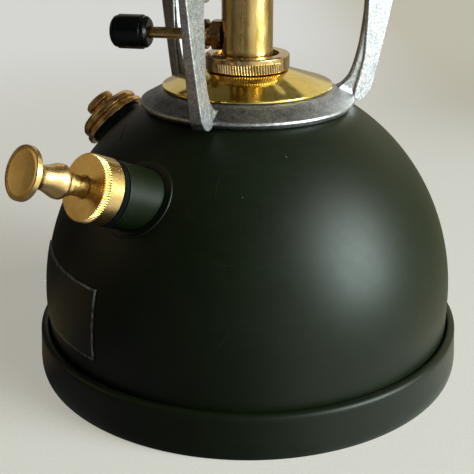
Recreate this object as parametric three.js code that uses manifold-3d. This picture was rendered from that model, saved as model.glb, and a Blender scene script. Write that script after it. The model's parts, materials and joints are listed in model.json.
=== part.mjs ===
// Paraffin pressure lantern, millimetres, +Z up, origin on the table under the tank's axis.
import * as THREE from "three";
import { mergeVertices } from "three/addons/utils/BufferGeometryUtils.js";
import Module from "manifold-3d";

const wasm = await Module();
wasm.setup();

// Clearances and counts
const fit_gap = 0.3;
const overrun = 4;
const round_sides = 40;
const mid_sides = 20;
const small_sides = 14;
const fine_sides = 8;
const FULL_TURN = 2 * Math.PI;
const degrees = Math.PI / 180;

// Tank: an elliptical dome standing in a rolled skirt
const dome_radius = 81.5;
const dome_rise = 85.6;
const dome_centre_z = 28;
const dome_wall = 1;
const dome_foot_z = 7;
const dome_steps = 10;
const skirt_overhang = 4.5;
const skirt_top_z = 17;
const skirt_lean = 0.6;
const skirt_shoulder = 2.2;
const skirt_foot_round = 1.4;
const skirt_foot_width = 3;
const pan_wall = 1.2;
const pan_floor_z = 3.4;
const pan_dish_rise = 1.6;

// Label plate on the dome's left
const label_azimuth = -151.5 * degrees;
const label_width = 56;
const label_height = 27;
const label_drop = 3.5;
const label_thickness = 0.5;
const label_columns = 14;
const label_rows = 4;

// Tank neck and union nut
const neck_radius = 13;
const neck_bore = 9.9;
const neck_foot_radius = 16;
const neck_foot_wall = 1.6;
const gasket_wall = 0.9;
const flange_wall = 1.3;
const nut_radius = 16;
const nut_head_wall = 5.6;
const nut_chamfer = 0.6;
const nut_lip_radius = 11.9;
const nut_lip_wall = 1.6;
const nut_barrel_wall = 1.1;

// Cast frame: ring, three legs with inner ribs, and the lugs that carry the gallery
const leg_count = 3;
const first_leg_azimuth = 8.9 * degrees;
const ring_radius = 41;
const ring_rim_wall = 2.65;
const ring_under_inset = 1.55;
const ring_top_slope_share = 0.535;
const disc_inset = 8.5;
const disc_wall = 0.8;
const hub_rise = 4.68;
const leg_rise = 100;
const leg_standoff = 4.2;
const leg_foot_inset = 3.3;
const leg_foot_drop = 1.9;
const leg_width_at_foot = 5.2;
const leg_width_taper_share = 0.232;
const leg_outer_heights = [3.2, 37, 54, 72, 92, 112, 131, 146.4];
const leg_depths = [2.8, 10.1, 12.8, 14.1, 13.8, 12.2, 9.6, 7.4];
const leg_inner_heights = [1.3, 15.2, 37];
const leg_inner_insets = [4.4, 0.7, 0];
const rib_width = 3.6;
const rib_heights = [4.9, 6.6, 10.4, 14.2, 21.9, 29.4, 37];
const rib_insets = [10.4, 8, 4.9, 3.5, 1.7, 0.8, 0.2];
const rib_root_inset = 1.2;
const lug_reach = 4.5;
const lug_width = 5;
const lug_depth = 3.5;

// Control body: brass tube with a side boss, gland, spindle, knob and needle
const tube_radius = 9.6;
const tube_bore = 7.6;
const tube_rise = 29;
const tube_shoulder = 6;
const spigot_depth = 9;
const spigot_floor = 2.6;
const spindle_rise = 6.3;
const spindle_azimuth = 167.3 * degrees;
const spindle_radius = 2.17;
const boss_radius = 6;
const boss_reach = 1.6;
const packing_radius = 3.9;
const packing_wall = 1.2;
const gland_hex_radius = 6;
const gland_hex_length = 2.3;
const gland_waist_radius = 4.4;
const gland_waist_length = 1.5;
const gland_collar_radius = 5.6;
const gland_collar_length = 1.5;
const knob_radius = 6.55;
const knob_length = 14.9;
const knob_start = 38.3;
const knob_step = 0.55;
const knob_shoulder = 2.6;
const knob_round = 1.5;
const knob_socket = 11;
const crank_throw = 1.2;
const crank_pin_radius = 0.7;
const crank_cheek_radius = 3.2;
const crank_cheek_wall = 1.4;
const crank_cheek_start = 2;
const yoke_slot_play = 0.45;
const yoke_rim = 1;
const yoke_thickness = 1.6;
const needle_rod_radius = 0.9;
const needle_tip_radius = 0.35;
const needle_tip_length = 3;

// Fuel pick-up tube
const fuel_tube_radius = 3.1;
const fuel_tube_bore = 2;
const fuel_tube_flange = 6.4;
const fuel_tube_flange_wall = 1.2;
const filter_radius = 5;
const filter_height = 11;
const filter_floor_gap = 2.4;
const filter_overlap = 6;

// Pump: its axis leaves the dome beside the tank's centre line
const pump_azimuth = -136.8 * degrees;
const pump_elevation = 24.2 * degrees;
const pump_inset = 15.5;
const pump_side_offset = 10;
const pump_rise = 5.2;
const collar_radius = 11.4;
const collar_front = 7.6;
const collar_back = -9;
const barrel_radius = 9.6;
const barrel_wall = 1.2;
const barrel_back = -60;
const barrel_thread_radius = 10.2;
const barrel_thread_length = 7.9;
const washer_radius = 11.5;
const washer_length = 1.9;
const pump_cap_radius = 11.6;
const pump_cap_length = 8.1;
const pump_cap_bevel = 0.5;
const rod_radius = 3.5;
const rod_hole_play = 0.2;
const rod_back = -54;
const rod_front = 28.4;
const pump_knob_start = 21.6;
const pump_knob_end = 42.2;
const pump_knob_radius = 8.9;
const pump_knob_rim = 1.7;
const pump_knob_dish = 0.9;
const pump_knob_places_share = [0.1, 0.18, 0.28, 0.38, 0.46, 0.57, 0.66, 0.77];
const pump_knob_radii = [4.35, 5.4, 5.85, 5.3, 4.1, 3.7, 3.85, 4.6];
const cup_radius = 8.1;
const cup_length = 5;
const cup_wall = 1.2;
const spring_radius = 5.5;
const spring_wire = 0.7;
const spring_turns = 4;
const spring_length = 12;
const spring_sides = 5;
const spring_steps_per_turn = 8;
const valve_radius = 5;
const valve_length = 6;
const valve_spigot_radius = 2.6;
const valve_bore = 1.2;

// Filler neck, cap and air-release screw, square to the dome
const filler_azimuth = 155.2 * degrees;
const filler_inset = 23.2;
const filler_neck_radius = 11.6;
const filler_bore = 8;
const filler_neck_top = 5.4;
const filler_neck_back = -6;
const filler_flange_radius = 13.6;
const filler_flange_wall = 1.4;
const filler_flange_drop = 3.4;
const cap_radius = 13.9;
const cap_foot = 2.4;
const cap_ring = 2.2;
const cap_groove = 1.3;
const cap_groove_depth = 1.3;
const cap_ridge_radius = 13.1;
const cap_ridge = 2.2;
const cap_top_wall = 2.2;
const cap_crown_radius = 6.4;
const cap_crown_rise = 1.4;
const filler_gasket_wall = 1;
const air_knob_radius = 5.8;
const air_knob_length = 2.4;
const air_waist_radius = 4.4;
const air_waist_length = 1.4;
const air_stem_radius = 2.2;
const air_stem_length = 4.4;

// Vaporiser, jet, burner and mantle
const vaporiser_radius = 4.3;
const vaporiser_bore = 2.2;
const vaporiser_hex_radius = 6.8;
const vaporiser_hex_length = 4;
const vaporiser_rise = 78;
const jet_radius = 3.2;
const jet_height = 7;
const jet_bore = 1.3;
const nozzle_radius = 10.9;
const nozzle_bore = 6.4;
const nozzle_height = 13;
const nozzle_flange_radius = 13.6;
const nozzle_flange_wall = 2.6;
const nozzle_neck_inset = 1.1;
const burner_radius = 19;
const burner_height = 19.5;
const burner_wall = 1.5;
const burner_neck_height = 5;
const burner_neck_radius = 14;
const burner_hole = 6;
const burner_flange_radius = 25.7;
const burner_flange_wall = 1.4;
const burner_vent_radius = 2.1;
const burner_vent_count = 6;
const mantle_length = 46;
const mantle_radius = 16;
const mantle_wall = 0.6;
const mantle_steps = 7;

// Preheating cup on the vaporiser's hexagon
const cup_outer = 15.5;
const cup_height = 9;
const cup_skin = 0.9;

// Gallery and globe
const gallery_drop = 8;
const gallery_wall = 1;
const gallery_inset = 1.3;
const gallery_rim_wall = 0.9;
const gallery_rim_height = 5;
const gallery_hole_radius = 10.3;
const gallery_vent_radius = 3.4;
const gallery_vent_ring = 27;
const gallery_vent_count = 9;
const globe_play = 0.4;
const globe_wall = 2;
const globe_height = 95;
const globe_lip = 0.9;

// Top ring, chimney, hood and bail
const top_ring_overhang = 9.8;
const top_ring_inset = 1;
const top_ring_wall = 3;
const ear_azimuth = 38.9 * degrees;
const ear_width = 8;
const ear_rise = 4.2;
const ear_wall = 2.4;
const screw_radius = 1.5;
const screw_head_radius = 2.8;
const screw_head_height = 2;
const screw_length = 8;
const screw_inset = 3.7;
const chimney_radius = 27.2;
const chimney_wall = 1.2;
const chimney_drop = 4;
const chimney_rise = 49;
const chimney_flange_lap = 1.4;
const chimney_flange_wall = 1.2;
const chimney_ledge_wall = 1.2;
const bracket_width = 9;
const bracket_wall = 1.5;
const bracket_leg = 7;
const stud_radius = 2.5;
const stud_rise = 13;
const hood_inset = 1.4;
const hood_wall = 1;
const hood_skirt_height = 24;
const hood_waist_gap = 8.8;
const hood_shoulder_height = 16;
const hood_crown_height = 14;
const hood_crown_flare = 5;
const hood_cap_rise = 13;
const hood_low_gap = 0.6;
const hood_slot_count = 12;
const hood_slot_width = 4;
const hood_slot_height = 13;
const crown_slot_count = 10;
const crown_slot_height = 8;
const hood_nut_radius = 8;
const hood_nut_height = 7;
const hood_nut_round = 1.2;
const bail_clearance = 4;
const bail_straight = 46;
const bail_wire = 1.7;
const bail_eye_radius = 4.2;
const bail_eye_wall = 3.4;
const bail_rest_angle = 144.3 * degrees;
const bail_wire_sides = 8;
const bail_steps = 32;
const pivot_radius = 2;
const pivot_head_radius = 3.6;
const pivot_head_wall = 1.8;

// Places worked out from the sizes above
const skirt_radius = dome_radius + skirt_overhang;
const pump_reach = dome_radius - pump_inset;
const filler_radius = dome_radius - filler_inset;
const barrel_front = collar_front + barrel_thread_length;
const label_low_z = dome_centre_z - label_drop;
const ring_under_radius = ring_radius - ring_under_inset;
const disc_radius = ring_radius - disc_inset;
const leg_inner_radius = ring_radius + leg_standoff;
const leg_foot_radius = leg_inner_radius - leg_foot_inset;
const gallery_radius = leg_inner_radius - gallery_inset;
const globe_radius = gallery_radius - gallery_rim_wall - globe_play;
const top_ring_outer = leg_inner_radius + top_ring_overhang;
const top_ring_inner = leg_inner_radius - top_ring_inset;
const screw_circle = leg_inner_radius + screw_inset;
const chimney_flange_radius = top_ring_inner + chimney_flange_lap;
const hood_radius = top_ring_outer - hood_inset;
const hood_waist_radius = chimney_radius + hood_waist_gap;
const hood_crown_radius = hood_waist_radius + hood_crown_flare;
const bail_radius = top_ring_outer + bail_clearance;
const dome_height_at = (radius) =>
  dome_centre_z + dome_rise * Math.sqrt(1 - (radius / dome_radius) ** 2);
const dome_tilt_at = (radius) =>
  Math.atan2(radius / dome_radius ** 2, (dome_height_at(radius) - dome_centre_z) / dome_rise ** 2);
const nut_bore = neck_radius + fit_gap;
const nut_barrel_radius = nut_bore + nut_barrel_wall;
const neck_hole = nut_barrel_radius + 2 * fit_gap;
const ring_rim_z = dome_height_at(ring_under_radius) + ring_rim_wall;
const ring_top_at = (radius) => ring_rim_z + (ring_radius - radius) * ring_top_slope_share;
const disc_edge_z = ring_top_at(disc_radius) + fit_gap + disc_wall;
const disc_slope_share =
  (dome_height_at(neck_hole) + hub_rise - disc_edge_z) / (disc_radius - neck_hole);
const disc_top_at = (radius) => disc_edge_z + (disc_radius - radius) * disc_slope_share;
const nut_low_z = disc_top_at(nut_radius) + 2 * fit_gap;
const nut_top_z = nut_low_z + nut_head_wall;
const nut_barrel_z = dome_height_at(nut_bore) + fit_gap;
const pump_z = dome_height_at(pump_reach) + pump_rise;
const spindle_z = nut_top_z + spindle_rise;
const tube_top_z = spindle_z + tube_rise;
const vaporiser_top_z = tube_top_z + vaporiser_rise;
const gallery_z = tube_top_z - gallery_drop;
const leg_top_z = gallery_z + leg_rise;
const chimney_low_z = leg_top_z - chimney_drop;
const chimney_top_z = leg_top_z + chimney_rise;
const flange_top_z = nut_top_z - nut_lip_wall - fit_gap;
const flange_low_z = flange_top_z - flange_wall;
const neck_top_z = flange_low_z - gasket_wall - 2 * fit_gap;
const spigot_low_z = flange_low_z - spigot_depth;
const boss_face = tube_radius + boss_reach;
const gland_start = boss_face + fit_gap;
const top_ring_low_z = leg_top_z + fit_gap;
const top_ring_top_z = top_ring_low_z + top_ring_wall;
const ear_pivot_z = top_ring_top_z + pivot_radius + 2 * fit_gap;
const globe_low_z = gallery_z + gallery_wall + fit_gap;
const yoke_slot_half = crank_pin_radius + yoke_slot_play;
const ear_outer = bail_radius - bail_eye_wall / 2 - fit_gap;
const ear_inner = ear_outer - ear_wall;

// Solids

/** A closed solid from a three.js geometry, turned right side out. */
function solid(geometry) {
  const bare = geometry.index ? geometry.toNonIndexed() : geometry;
  bare.deleteAttribute("normal");
  bare.deleteAttribute("uv");
  const merged = mergeVertices(bare, 1e-5);
  const places = merged.attributes.position.array;
  const index = merged.index.array;
  const kept = [];
  let volume = 0;
  const corner = (k) => new THREE.Vector3(places[3 * k], places[3 * k + 1], places[3 * k + 2]);
  for (let i = 0; i < index.length; i += 3) {
    const [a, b, c] = [index[i], index[i + 1], index[i + 2]];
    if (a === b || b === c || c === a) continue;
    kept.push(a, b, c);
    volume += corner(a).dot(corner(b).cross(corner(c)));
  }
  if (volume < 0) kept.reverse();
  return new wasm.Manifold(new wasm.Mesh({
    numProp: 3,
    vertProperties: new Float32Array(places),
    triVerts: new Uint32Array(kept),
  }));
}

/** A profile of [radius, height] corners turned about the Z axis. */
function turned(profile, sides) {
  const points = profile.map(([radius, height]) => new THREE.Vector2(radius, height));
  const onAxis = profile[0][0] === 0 && profile.at(-1)[0] === 0;
  if (!onAxis) points.push(points[0].clone());
  const geometry = new THREE.LatheGeometry(points, sides);
  geometry.rotateX(Math.PI / 2);
  return solid(geometry);
}

/** A plain ring between two radii and two heights. */
function ring(outer, inner, low, high, sides) {
  return turned([[inner, low], [outer, low], [outer, high], [inner, high]], sides);
}

/** A plain disc or rod from low to high. */
function rod(radius, low, high, sides) {
  return turned([[0, low], [radius, low], [radius, high], [0, high]], sides);
}

/** An outline of [x, y] corners drawn up from low to high. */
function drawn(outline, low, high) {
  const shape = new THREE.Shape(outline.map(([x, y]) => new THREE.Vector2(x, y)));
  const geometry = new THREE.ExtrudeGeometry(shape, { depth: high - low, bevelEnabled: false });
  geometry.translate(0, 0, low);
  return solid(geometry);
}

/** An outline of [radius, height] corners, thick across the leg, standing in the XZ plane. */
function plate(outline, width) {
  const flat = drawn(outline, -width / 2, width / 2);
  return placed(flat, new THREE.Matrix4().makeRotationX(Math.PI / 2));
}

function box(low, high) {
  const size = high.map((value, axis) => value - low[axis]);
  const geometry = new THREE.BoxGeometry(...size);
  geometry.translate(...low.map((value, axis) => value + size[axis] / 2));
  return solid(geometry);
}

function hexagon(radius) {
  return Array.from({ length: 6 }, (_, side) => {
    const angle = side * FULL_TURN / 6 + FULL_TURN / 12;
    return [radius * Math.cos(angle), radius * Math.sin(angle)];
  });
}

function placed(shape, matrix) {
  return shape.transform(matrix.elements);
}

function turnedAbout(shape, angle) {
  return placed(shape, new THREE.Matrix4().makeRotationZ(angle));
}

/** Copies of a solid spaced evenly about the Z axis, joined. */
function repeated(shape, count, start = 0) {
  const copies = Array.from({ length: count }, (_, i) =>
    turnedAbout(shape, start + i * FULL_TURN / count));
  return copies.reduce((whole, copy) => whole.add(copy));
}

/** The frame of an axis that leaves the lantern's side: local +Z points out along it. */
function axisFrame(origin, azimuth, tilt) {
  const turn = new THREE.Matrix4().makeRotationZ(azimuth);
  turn.multiply(new THREE.Matrix4().makeRotationY(tilt));
  return new THREE.Matrix4().setPosition(origin).multiply(turn);
}

const pump_frame = axisFrame(
  new THREE.Vector3(
    pump_reach * Math.cos(pump_azimuth) - pump_side_offset * Math.sin(pump_azimuth),
    pump_reach * Math.sin(pump_azimuth) + pump_side_offset * Math.cos(pump_azimuth),
    pump_z,
  ),
  pump_azimuth,
  Math.PI / 2 - pump_elevation,
);
const filler_frame = axisFrame(
  new THREE.Vector3(
    filler_radius * Math.cos(filler_azimuth),
    filler_radius * Math.sin(filler_azimuth),
    dome_height_at(filler_radius),
  ),
  filler_azimuth,
  dome_tilt_at(filler_radius),
);
const spindle_frame = axisFrame(new THREE.Vector3(0, 0, spindle_z), spindle_azimuth, Math.PI / 2);

// Materials

const finish = (color, roughness, metalness, extra = {}) =>
  new THREE.MeshStandardMaterial({ color, roughness, metalness, ...extra });
const green_paint = finish(0x23271c, 0.42, 0.1);
const dark_plate = finish(0x15171a, 0.5, 0.1);
const brass = finish(0xb08a3c, 0.28, 1);
const aged_brass = finish(0x7a5526, 0.45, 1);
const disc_brass = finish(0xb99a3a, 0.18, 1);
const cast_metal = finish(0xa9adb0, 0.45, 0.9);
const steel = finish(0x8d9092, 0.35, 1);
const black_plastic = finish(0x0c0e10, 0.4, 0);
const rubber = finish(0x141414, 0.7, 0);
const leather = finish(0x4b2f1a, 0.7, 0);
const ceramic = finish(0xe6e0d2, 0.7, 0);
const mantle_cloth = finish(0xf1efe6, 0.9, 0);
const clear_glass = finish(0xdfe8ea, 0.05, 0, { transparent: true, opacity: 0.3 });

// The scene graph

const lantern = new THREE.Group();
const pumpGroup = new THREE.Group();
const fillerGroup = new THREE.Group();
const spindleGroup = new THREE.Group();
pumpGroup.applyMatrix4(pump_frame);
fillerGroup.applyMatrix4(filler_frame);
spindleGroup.applyMatrix4(spindle_frame);
lantern.add(pumpGroup, fillerGroup, spindleGroup);

function addPiece(parent, name, shape, material) {
  const mesh = shape.getMesh();
  const geometry = new THREE.BufferGeometry();
  geometry.setAttribute("position", new THREE.BufferAttribute(mesh.vertProperties, 3));
  geometry.setIndex(new THREE.BufferAttribute(mesh.triVerts, 1));
  const piece = new THREE.Mesh(geometry, material);
  piece.name = name;
  parent.add(piece);
}

// Tank

function tankDome() {
  const outer = [];
  const inner = [];
  for (let i = 0; i <= dome_steps; i += 1) {
    const angle = i / dome_steps * Math.PI / 2;
    outer.push([dome_radius * Math.cos(angle), dome_centre_z + dome_rise * Math.sin(angle)]);
    inner.push([
      (dome_radius - dome_wall) * Math.cos(angle),
      dome_centre_z + (dome_rise - dome_wall) * Math.sin(angle),
    ]);
  }
  outer[dome_steps][0] = 0;
  inner[dome_steps][0] = 0;
  const skin = turned([[0, dome_foot_z], [dome_radius, dome_foot_z], ...outer], round_sides);
  const hollow = turned(
    [[0, dome_foot_z - overrun], [dome_radius - dome_wall, dome_foot_z - overrun], ...inner],
    round_sides,
  );
  const neckHole = rod(neck_radius + fit_gap, dome_centre_z, dome_centre_z + 2 * dome_rise, mid_sides);
  const pumpHole = placed(
    rod(collar_radius + fit_gap, collar_back - pump_reach / 2, collar_front + pump_reach / 2, mid_sides),
    pump_frame,
  );
  const fillerHole = placed(
    rod(filler_neck_radius + fit_gap, filler_neck_back - overrun, filler_neck_top + overrun, mid_sides),
    filler_frame,
  );
  return skin.subtract(hollow).subtract(neckHole).subtract(pumpHole).subtract(fillerHole);
}

function tankBase() {
  const inside = dome_radius + fit_gap;
  const top = skirt_radius - skirt_lean;
  const profile = [
    [0, pan_floor_z + pan_dish_rise],
    [inside - skirt_foot_width, pan_floor_z],
    [skirt_radius - skirt_foot_width - skirt_foot_round, 0],
    [skirt_radius - skirt_foot_round, 0],
    [skirt_radius, skirt_foot_round],
    [top, skirt_top_z - skirt_shoulder],
    [top - skirt_shoulder / 3, skirt_top_z - skirt_shoulder / 3],
    [top - skirt_shoulder, skirt_top_z],
    [inside, skirt_top_z],
    [inside, pan_floor_z + 2 * pan_wall],
    [inside - skirt_foot_width, pan_floor_z + pan_wall],
    [0, pan_floor_z + pan_dish_rise + pan_wall],
  ];
  return turned(profile, round_sides);
}

function labelPlate() {
  const reach = (z) => z > dome_centre_z
    ? dome_radius * Math.sqrt(1 - ((z - dome_centre_z) / dome_rise) ** 2)
    : dome_radius;
  const half = label_width / 2 / dome_radius;
  const geometry = new THREE.BoxGeometry(1, 1, 1, label_columns, label_rows, 1);
  const spots = geometry.attributes.position;
  for (let i = 0; i < spots.count; i += 1) {
    const azimuth = label_azimuth + 2 * half * spots.getX(i);
    const z = label_low_z + label_height * (spots.getY(i) + 1 / 2);
    const radius = reach(z) + fit_gap + label_thickness * (1 / 2 - spots.getZ(i));
    spots.setXYZ(i, radius * Math.cos(azimuth), radius * Math.sin(azimuth), z);
  }
  return solid(geometry);
}

addPiece(lantern, "tank_dome", tankDome(), green_paint);
addPiece(lantern, "tank_base", tankBase(), green_paint);
addPiece(lantern, "label_plate", labelPlate(), dark_plate);

// Neck, disc and union nut

function tankNeck() {
  const foot = dome_height_at(neck_foot_radius) - dome_wall - fit_gap;
  return ring(neck_foot_radius, neck_bore, foot - neck_foot_wall, foot, mid_sides)
    .add(ring(neck_radius, neck_bore, foot - neck_foot_wall, neck_top_z, mid_sides));
}

function discPlate() {
  const hole = neck_hole;
  return turned([
    [hole, disc_top_at(hole) - disc_wall],
    [disc_radius, disc_edge_z - disc_wall],
    [disc_radius, disc_edge_z],
    [hole, disc_top_at(hole)],
  ], round_sides);
}

function unionNut() {
  const head = turned([
    [nut_lip_radius, nut_low_z],
    [nut_radius, nut_low_z],
    [nut_radius, nut_top_z - nut_chamfer],
    [nut_radius - nut_chamfer, nut_top_z],
    [nut_lip_radius, nut_top_z],
  ], round_sides);
  const barrel = ring(nut_barrel_radius, nut_lip_radius, nut_barrel_z, nut_low_z + nut_chamfer, round_sides);
  const bore = rod(nut_bore, nut_barrel_z - overrun, nut_top_z - nut_lip_wall, mid_sides);
  return head.add(barrel).subtract(bore);
}

addPiece(lantern, "tank_neck", tankNeck(), brass);
addPiece(lantern, "neck_gasket",
  ring(neck_radius - fit_gap, neck_bore, neck_top_z + fit_gap, flange_low_z - fit_gap, mid_sides), rubber);
addPiece(lantern, "disc_plate", discPlate(), disc_brass);
addPiece(lantern, "union_nut", unionNut(), brass);

// Cast frame

function legOutline() {
  const foot_z = ring_rim_z - leg_foot_drop;
  const outer = new THREE.SplineCurve(leg_outer_heights.map((height, i) =>
    new THREE.Vector2(leg_inner_radius + leg_depths[i], foot_z + height)));
  const inner = leg_inner_heights.map((height, i) =>
    [leg_inner_radius - leg_inner_insets[i], foot_z + height]);
  const outside = outer.getPoints(2 * leg_outer_heights.length).map((point) => [point.x, point.y]);
  outside.at(-1)[1] = leg_top_z;
  return [
    [leg_foot_radius, foot_z],
    [ring_under_radius + leg_outer_heights[0] * 2, foot_z],
    ...outside,
    [leg_inner_radius, leg_top_z],
    ...inner.reverse(),
  ];
}

function ribOutline() {
  const foot_z = ring_rim_z - leg_foot_drop;
  const edge = rib_heights.map((height, i) => [leg_inner_radius - rib_insets[i], foot_z + height]);
  return [
    ...edge,
    [leg_inner_radius + rib_root_inset, foot_z + rib_heights.at(-1)],
    [leg_inner_radius + rib_root_inset, foot_z + rib_heights[0]],
    [leg_inner_radius - rib_insets[0], foot_z + rib_heights[0] - rib_root_inset],
  ];
}

function lanternFrame() {
  const under = [ring_under_radius, (ring_under_radius + neck_hole) / 2, neck_hole];
  const profile = [
    ...under.map((radius) => [radius, dome_height_at(radius) + fit_gap]).reverse(),
    [ring_radius, ring_rim_z - fit_gap],
    [ring_radius, ring_rim_z],
    [disc_radius + fit_gap, ring_top_at(disc_radius)],
    [neck_hole, disc_top_at(neck_hole) - disc_wall - fit_gap],
  ];
  const hub = turned(profile, round_sides);
  const reach = leg_inner_radius + Math.max(...leg_depths) + overrun;
  const widthAt = (radius) => leg_width_at_foot
    - (radius - leg_foot_radius - overrun) * leg_width_taper_share;
  const wedge = drawn([
    [leg_foot_radius - overrun, -widthAt(leg_foot_radius - overrun) / 2],
    [reach, -widthAt(reach) / 2],
    [reach, widthAt(reach) / 2],
    [leg_foot_radius - overrun, widthAt(leg_foot_radius - overrun) / 2],
  ], dome_centre_z, leg_top_z + overrun);
  const bar = plate(legOutline(), 2 * leg_width_at_foot).intersect(wedge);
  const rib = plate(ribOutline(), rib_width);
  const lug = box(
    [leg_inner_radius - lug_reach, -lug_width / 2, gallery_z - fit_gap - lug_depth],
    [leg_inner_radius + rib_root_inset, lug_width / 2, gallery_z - fit_gap],
  );
  const hole = placed(
    rod(screw_radius + fit_gap, leg_top_z - screw_length - fit_gap, leg_top_z + overrun, fine_sides),
    new THREE.Matrix4().makeTranslation(screw_circle, 0, 0),
  );
  const leg = bar.add(rib).add(lug).subtract(hole);
  const clearance = turned([
    [0, 0],
    [ring_radius + overrun, 0],
    ...[1.08, 1.04, 1, 0.9, 0.7].map((share) => [
      ring_under_radius * share,
      dome_height_at(ring_under_radius * share) + fit_gap,
    ]),
    [0, dome_height_at(0)],
  ], round_sides);
  return hub.add(repeated(leg, leg_count, first_leg_azimuth).subtract(clearance));
}

addPiece(lantern, "lantern_frame", lanternFrame(), cast_metal);

// Control body, gland, spindle, knob and needle

function controlBody() {
  const shoulder_z = tube_top_z - tube_shoulder;
  const shell = turned([
    [fuel_tube_radius + fit_gap, spigot_low_z],
    [neck_bore - fit_gap, spigot_low_z],
    [neck_bore - fit_gap, flange_low_z],
    [neck_radius, flange_low_z],
    [neck_radius, flange_top_z],
    [tube_radius, flange_top_z],
    [tube_radius, tube_top_z],
    [vaporiser_radius + fit_gap, tube_top_z],
    [vaporiser_radius + fit_gap, shoulder_z],
    [tube_bore, shoulder_z],
    [tube_bore, spigot_low_z + spigot_floor],
    [fuel_tube_radius + fit_gap, spigot_low_z + spigot_floor],
  ], mid_sides);
  const boss = placed(rod(boss_radius, tube_bore, boss_face, small_sides), spindle_frame);
  const pocket = placed(
    rod(packing_radius + fit_gap, tube_radius - packing_wall, boss_face + overrun, small_sides),
    spindle_frame,
  );
  const spindleHole = placed(
    rod(spindle_radius + fit_gap, tube_bore - overrun, boss_face, small_sides),
    spindle_frame,
  );
  const bore = rod(tube_bore, spigot_low_z + spigot_floor, shoulder_z, mid_sides);
  return shell.add(boss).subtract(bore).subtract(pocket).subtract(spindleHole);
}

function glandNut() {
  const waist = gland_start + gland_hex_length;
  const collar = waist + gland_waist_length;
  const end = collar + gland_collar_length;
  const spigot = boss_face - packing_wall + fit_gap;
  return drawn(hexagon(gland_hex_radius), gland_start, waist)
    .add(rod(packing_radius, spigot, waist, small_sides))
    .add(rod(gland_waist_radius, waist - fit_gap, collar + fit_gap, small_sides))
    .add(rod(gland_collar_radius, collar, end, small_sides))
    .subtract(rod(spindle_radius + fit_gap, spigot - overrun, end + overrun, small_sides));
}

function controlSpindle() {
  const pin = placed(
    rod(crank_pin_radius, -yoke_thickness, crank_cheek_start + fit_gap, fine_sides),
    new THREE.Matrix4().makeTranslation(crank_throw, 0, 0),
  );
  const cheek = rod(crank_cheek_radius, crank_cheek_start, crank_cheek_start + crank_cheek_wall, small_sides);
  const stem = rod(spindle_radius, crank_cheek_start, knob_start + knob_socket - fit_gap, small_sides);
  return stem.add(cheek).add(pin);
}

function controlKnob() {
  const end = knob_start + knob_length;
  const shoulder = knob_radius - knob_step;
  return turned([
    [0, knob_start + knob_socket],
    [spindle_radius + fit_gap, knob_start + knob_socket],
    [spindle_radius + fit_gap, knob_start],
    [shoulder - knob_round, knob_start],
    [shoulder - knob_round / 4, knob_start + knob_round / 2],
    [shoulder, knob_start + knob_round],
    [shoulder, knob_start + knob_shoulder],
    [knob_radius, knob_start + knob_shoulder],
    [knob_radius, end - knob_shoulder],
    [shoulder, end - knob_shoulder],
    [shoulder, end - knob_round],
    [shoulder - knob_round / 4, end - knob_round / 2],
    [shoulder - knob_round, end],
    [0, end],
  ], mid_sides);
}

function needleRod() {
  const centre = spindle_z - crank_throw;
  const slot_reach = crank_throw + yoke_slot_half;
  const top = vaporiser_top_z + jet_height - needle_tip_length - fit_gap;
  const turnedToSpindle = new THREE.Matrix4().makeRotationZ(spindle_azimuth);
  const frame = box(
    [-yoke_thickness / 2, -slot_reach - yoke_rim, centre - yoke_slot_half - yoke_rim],
    [yoke_thickness / 2, slot_reach + yoke_rim, centre + yoke_slot_half + yoke_rim],
  ).subtract(box(
    [-yoke_thickness, -slot_reach, centre - yoke_slot_half],
    [yoke_thickness, slot_reach, centre + yoke_slot_half],
  ));
  return placed(frame, turnedToSpindle)
    .add(rod(needle_rod_radius, centre + yoke_slot_half + yoke_rim / 2, top, fine_sides))
    .add(rod(needle_tip_radius, top - needle_tip_radius, top + needle_tip_length, fine_sides));
}

addPiece(lantern, "control_body", controlBody(), brass);
addPiece(spindleGroup, "gland_packing",
  ring(packing_radius, spindle_radius + fit_gap, tube_radius - packing_wall + fit_gap,
    boss_face - packing_wall, small_sides), rubber);
addPiece(spindleGroup, "gland_nut", glandNut(), aged_brass);
addPiece(spindleGroup, "control_spindle", controlSpindle(), brass);
addPiece(spindleGroup, "control_knob", controlKnob(), black_plastic);
addPiece(lantern, "needle_rod", needleRod(), steel);

// Fuel pick-up

const filter_low_z = pan_floor_z + pan_dish_rise + pan_wall + filter_floor_gap;
const filter_top_z = filter_low_z + filter_height;

function fuelTube() {
  const floor_z = spigot_low_z + spigot_floor;
  return ring(fuel_tube_radius, fuel_tube_bore, filter_top_z - filter_overlap, floor_z + fit_gap, fine_sides)
    .add(ring(fuel_tube_flange, fuel_tube_bore, floor_z + fit_gap / 2,
      floor_z + fit_gap / 2 + fuel_tube_flange_wall, small_sides));
}

function fuelFilter() {
  const inside = fuel_tube_radius + fit_gap;
  return turned([
    [0, filter_low_z],
    [filter_radius, filter_low_z],
    [filter_radius, filter_top_z],
    [inside, filter_top_z],
    [inside, filter_low_z + fit_gap * 3],
    [0, filter_low_z + fit_gap * 3],
  ], small_sides);
}

addPiece(lantern, "fuel_tube", fuelTube(), brass);
addPiece(lantern, "fuel_filter", fuelFilter(), steel);

// Pump

function pumpBarrel() {
  return turned([
    [valve_spigot_radius + fit_gap, barrel_back],
    [barrel_radius, barrel_back],
    [barrel_radius, collar_back],
    [collar_radius, collar_back],
    [collar_radius, collar_front],
    [barrel_thread_radius, collar_front],
    [barrel_thread_radius, barrel_front],
    [barrel_radius - barrel_wall, barrel_front],
    [barrel_radius - barrel_wall, barrel_back + barrel_wall],
    [valve_spigot_radius + fit_gap, barrel_back + barrel_wall],
  ], mid_sides);
}

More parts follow.
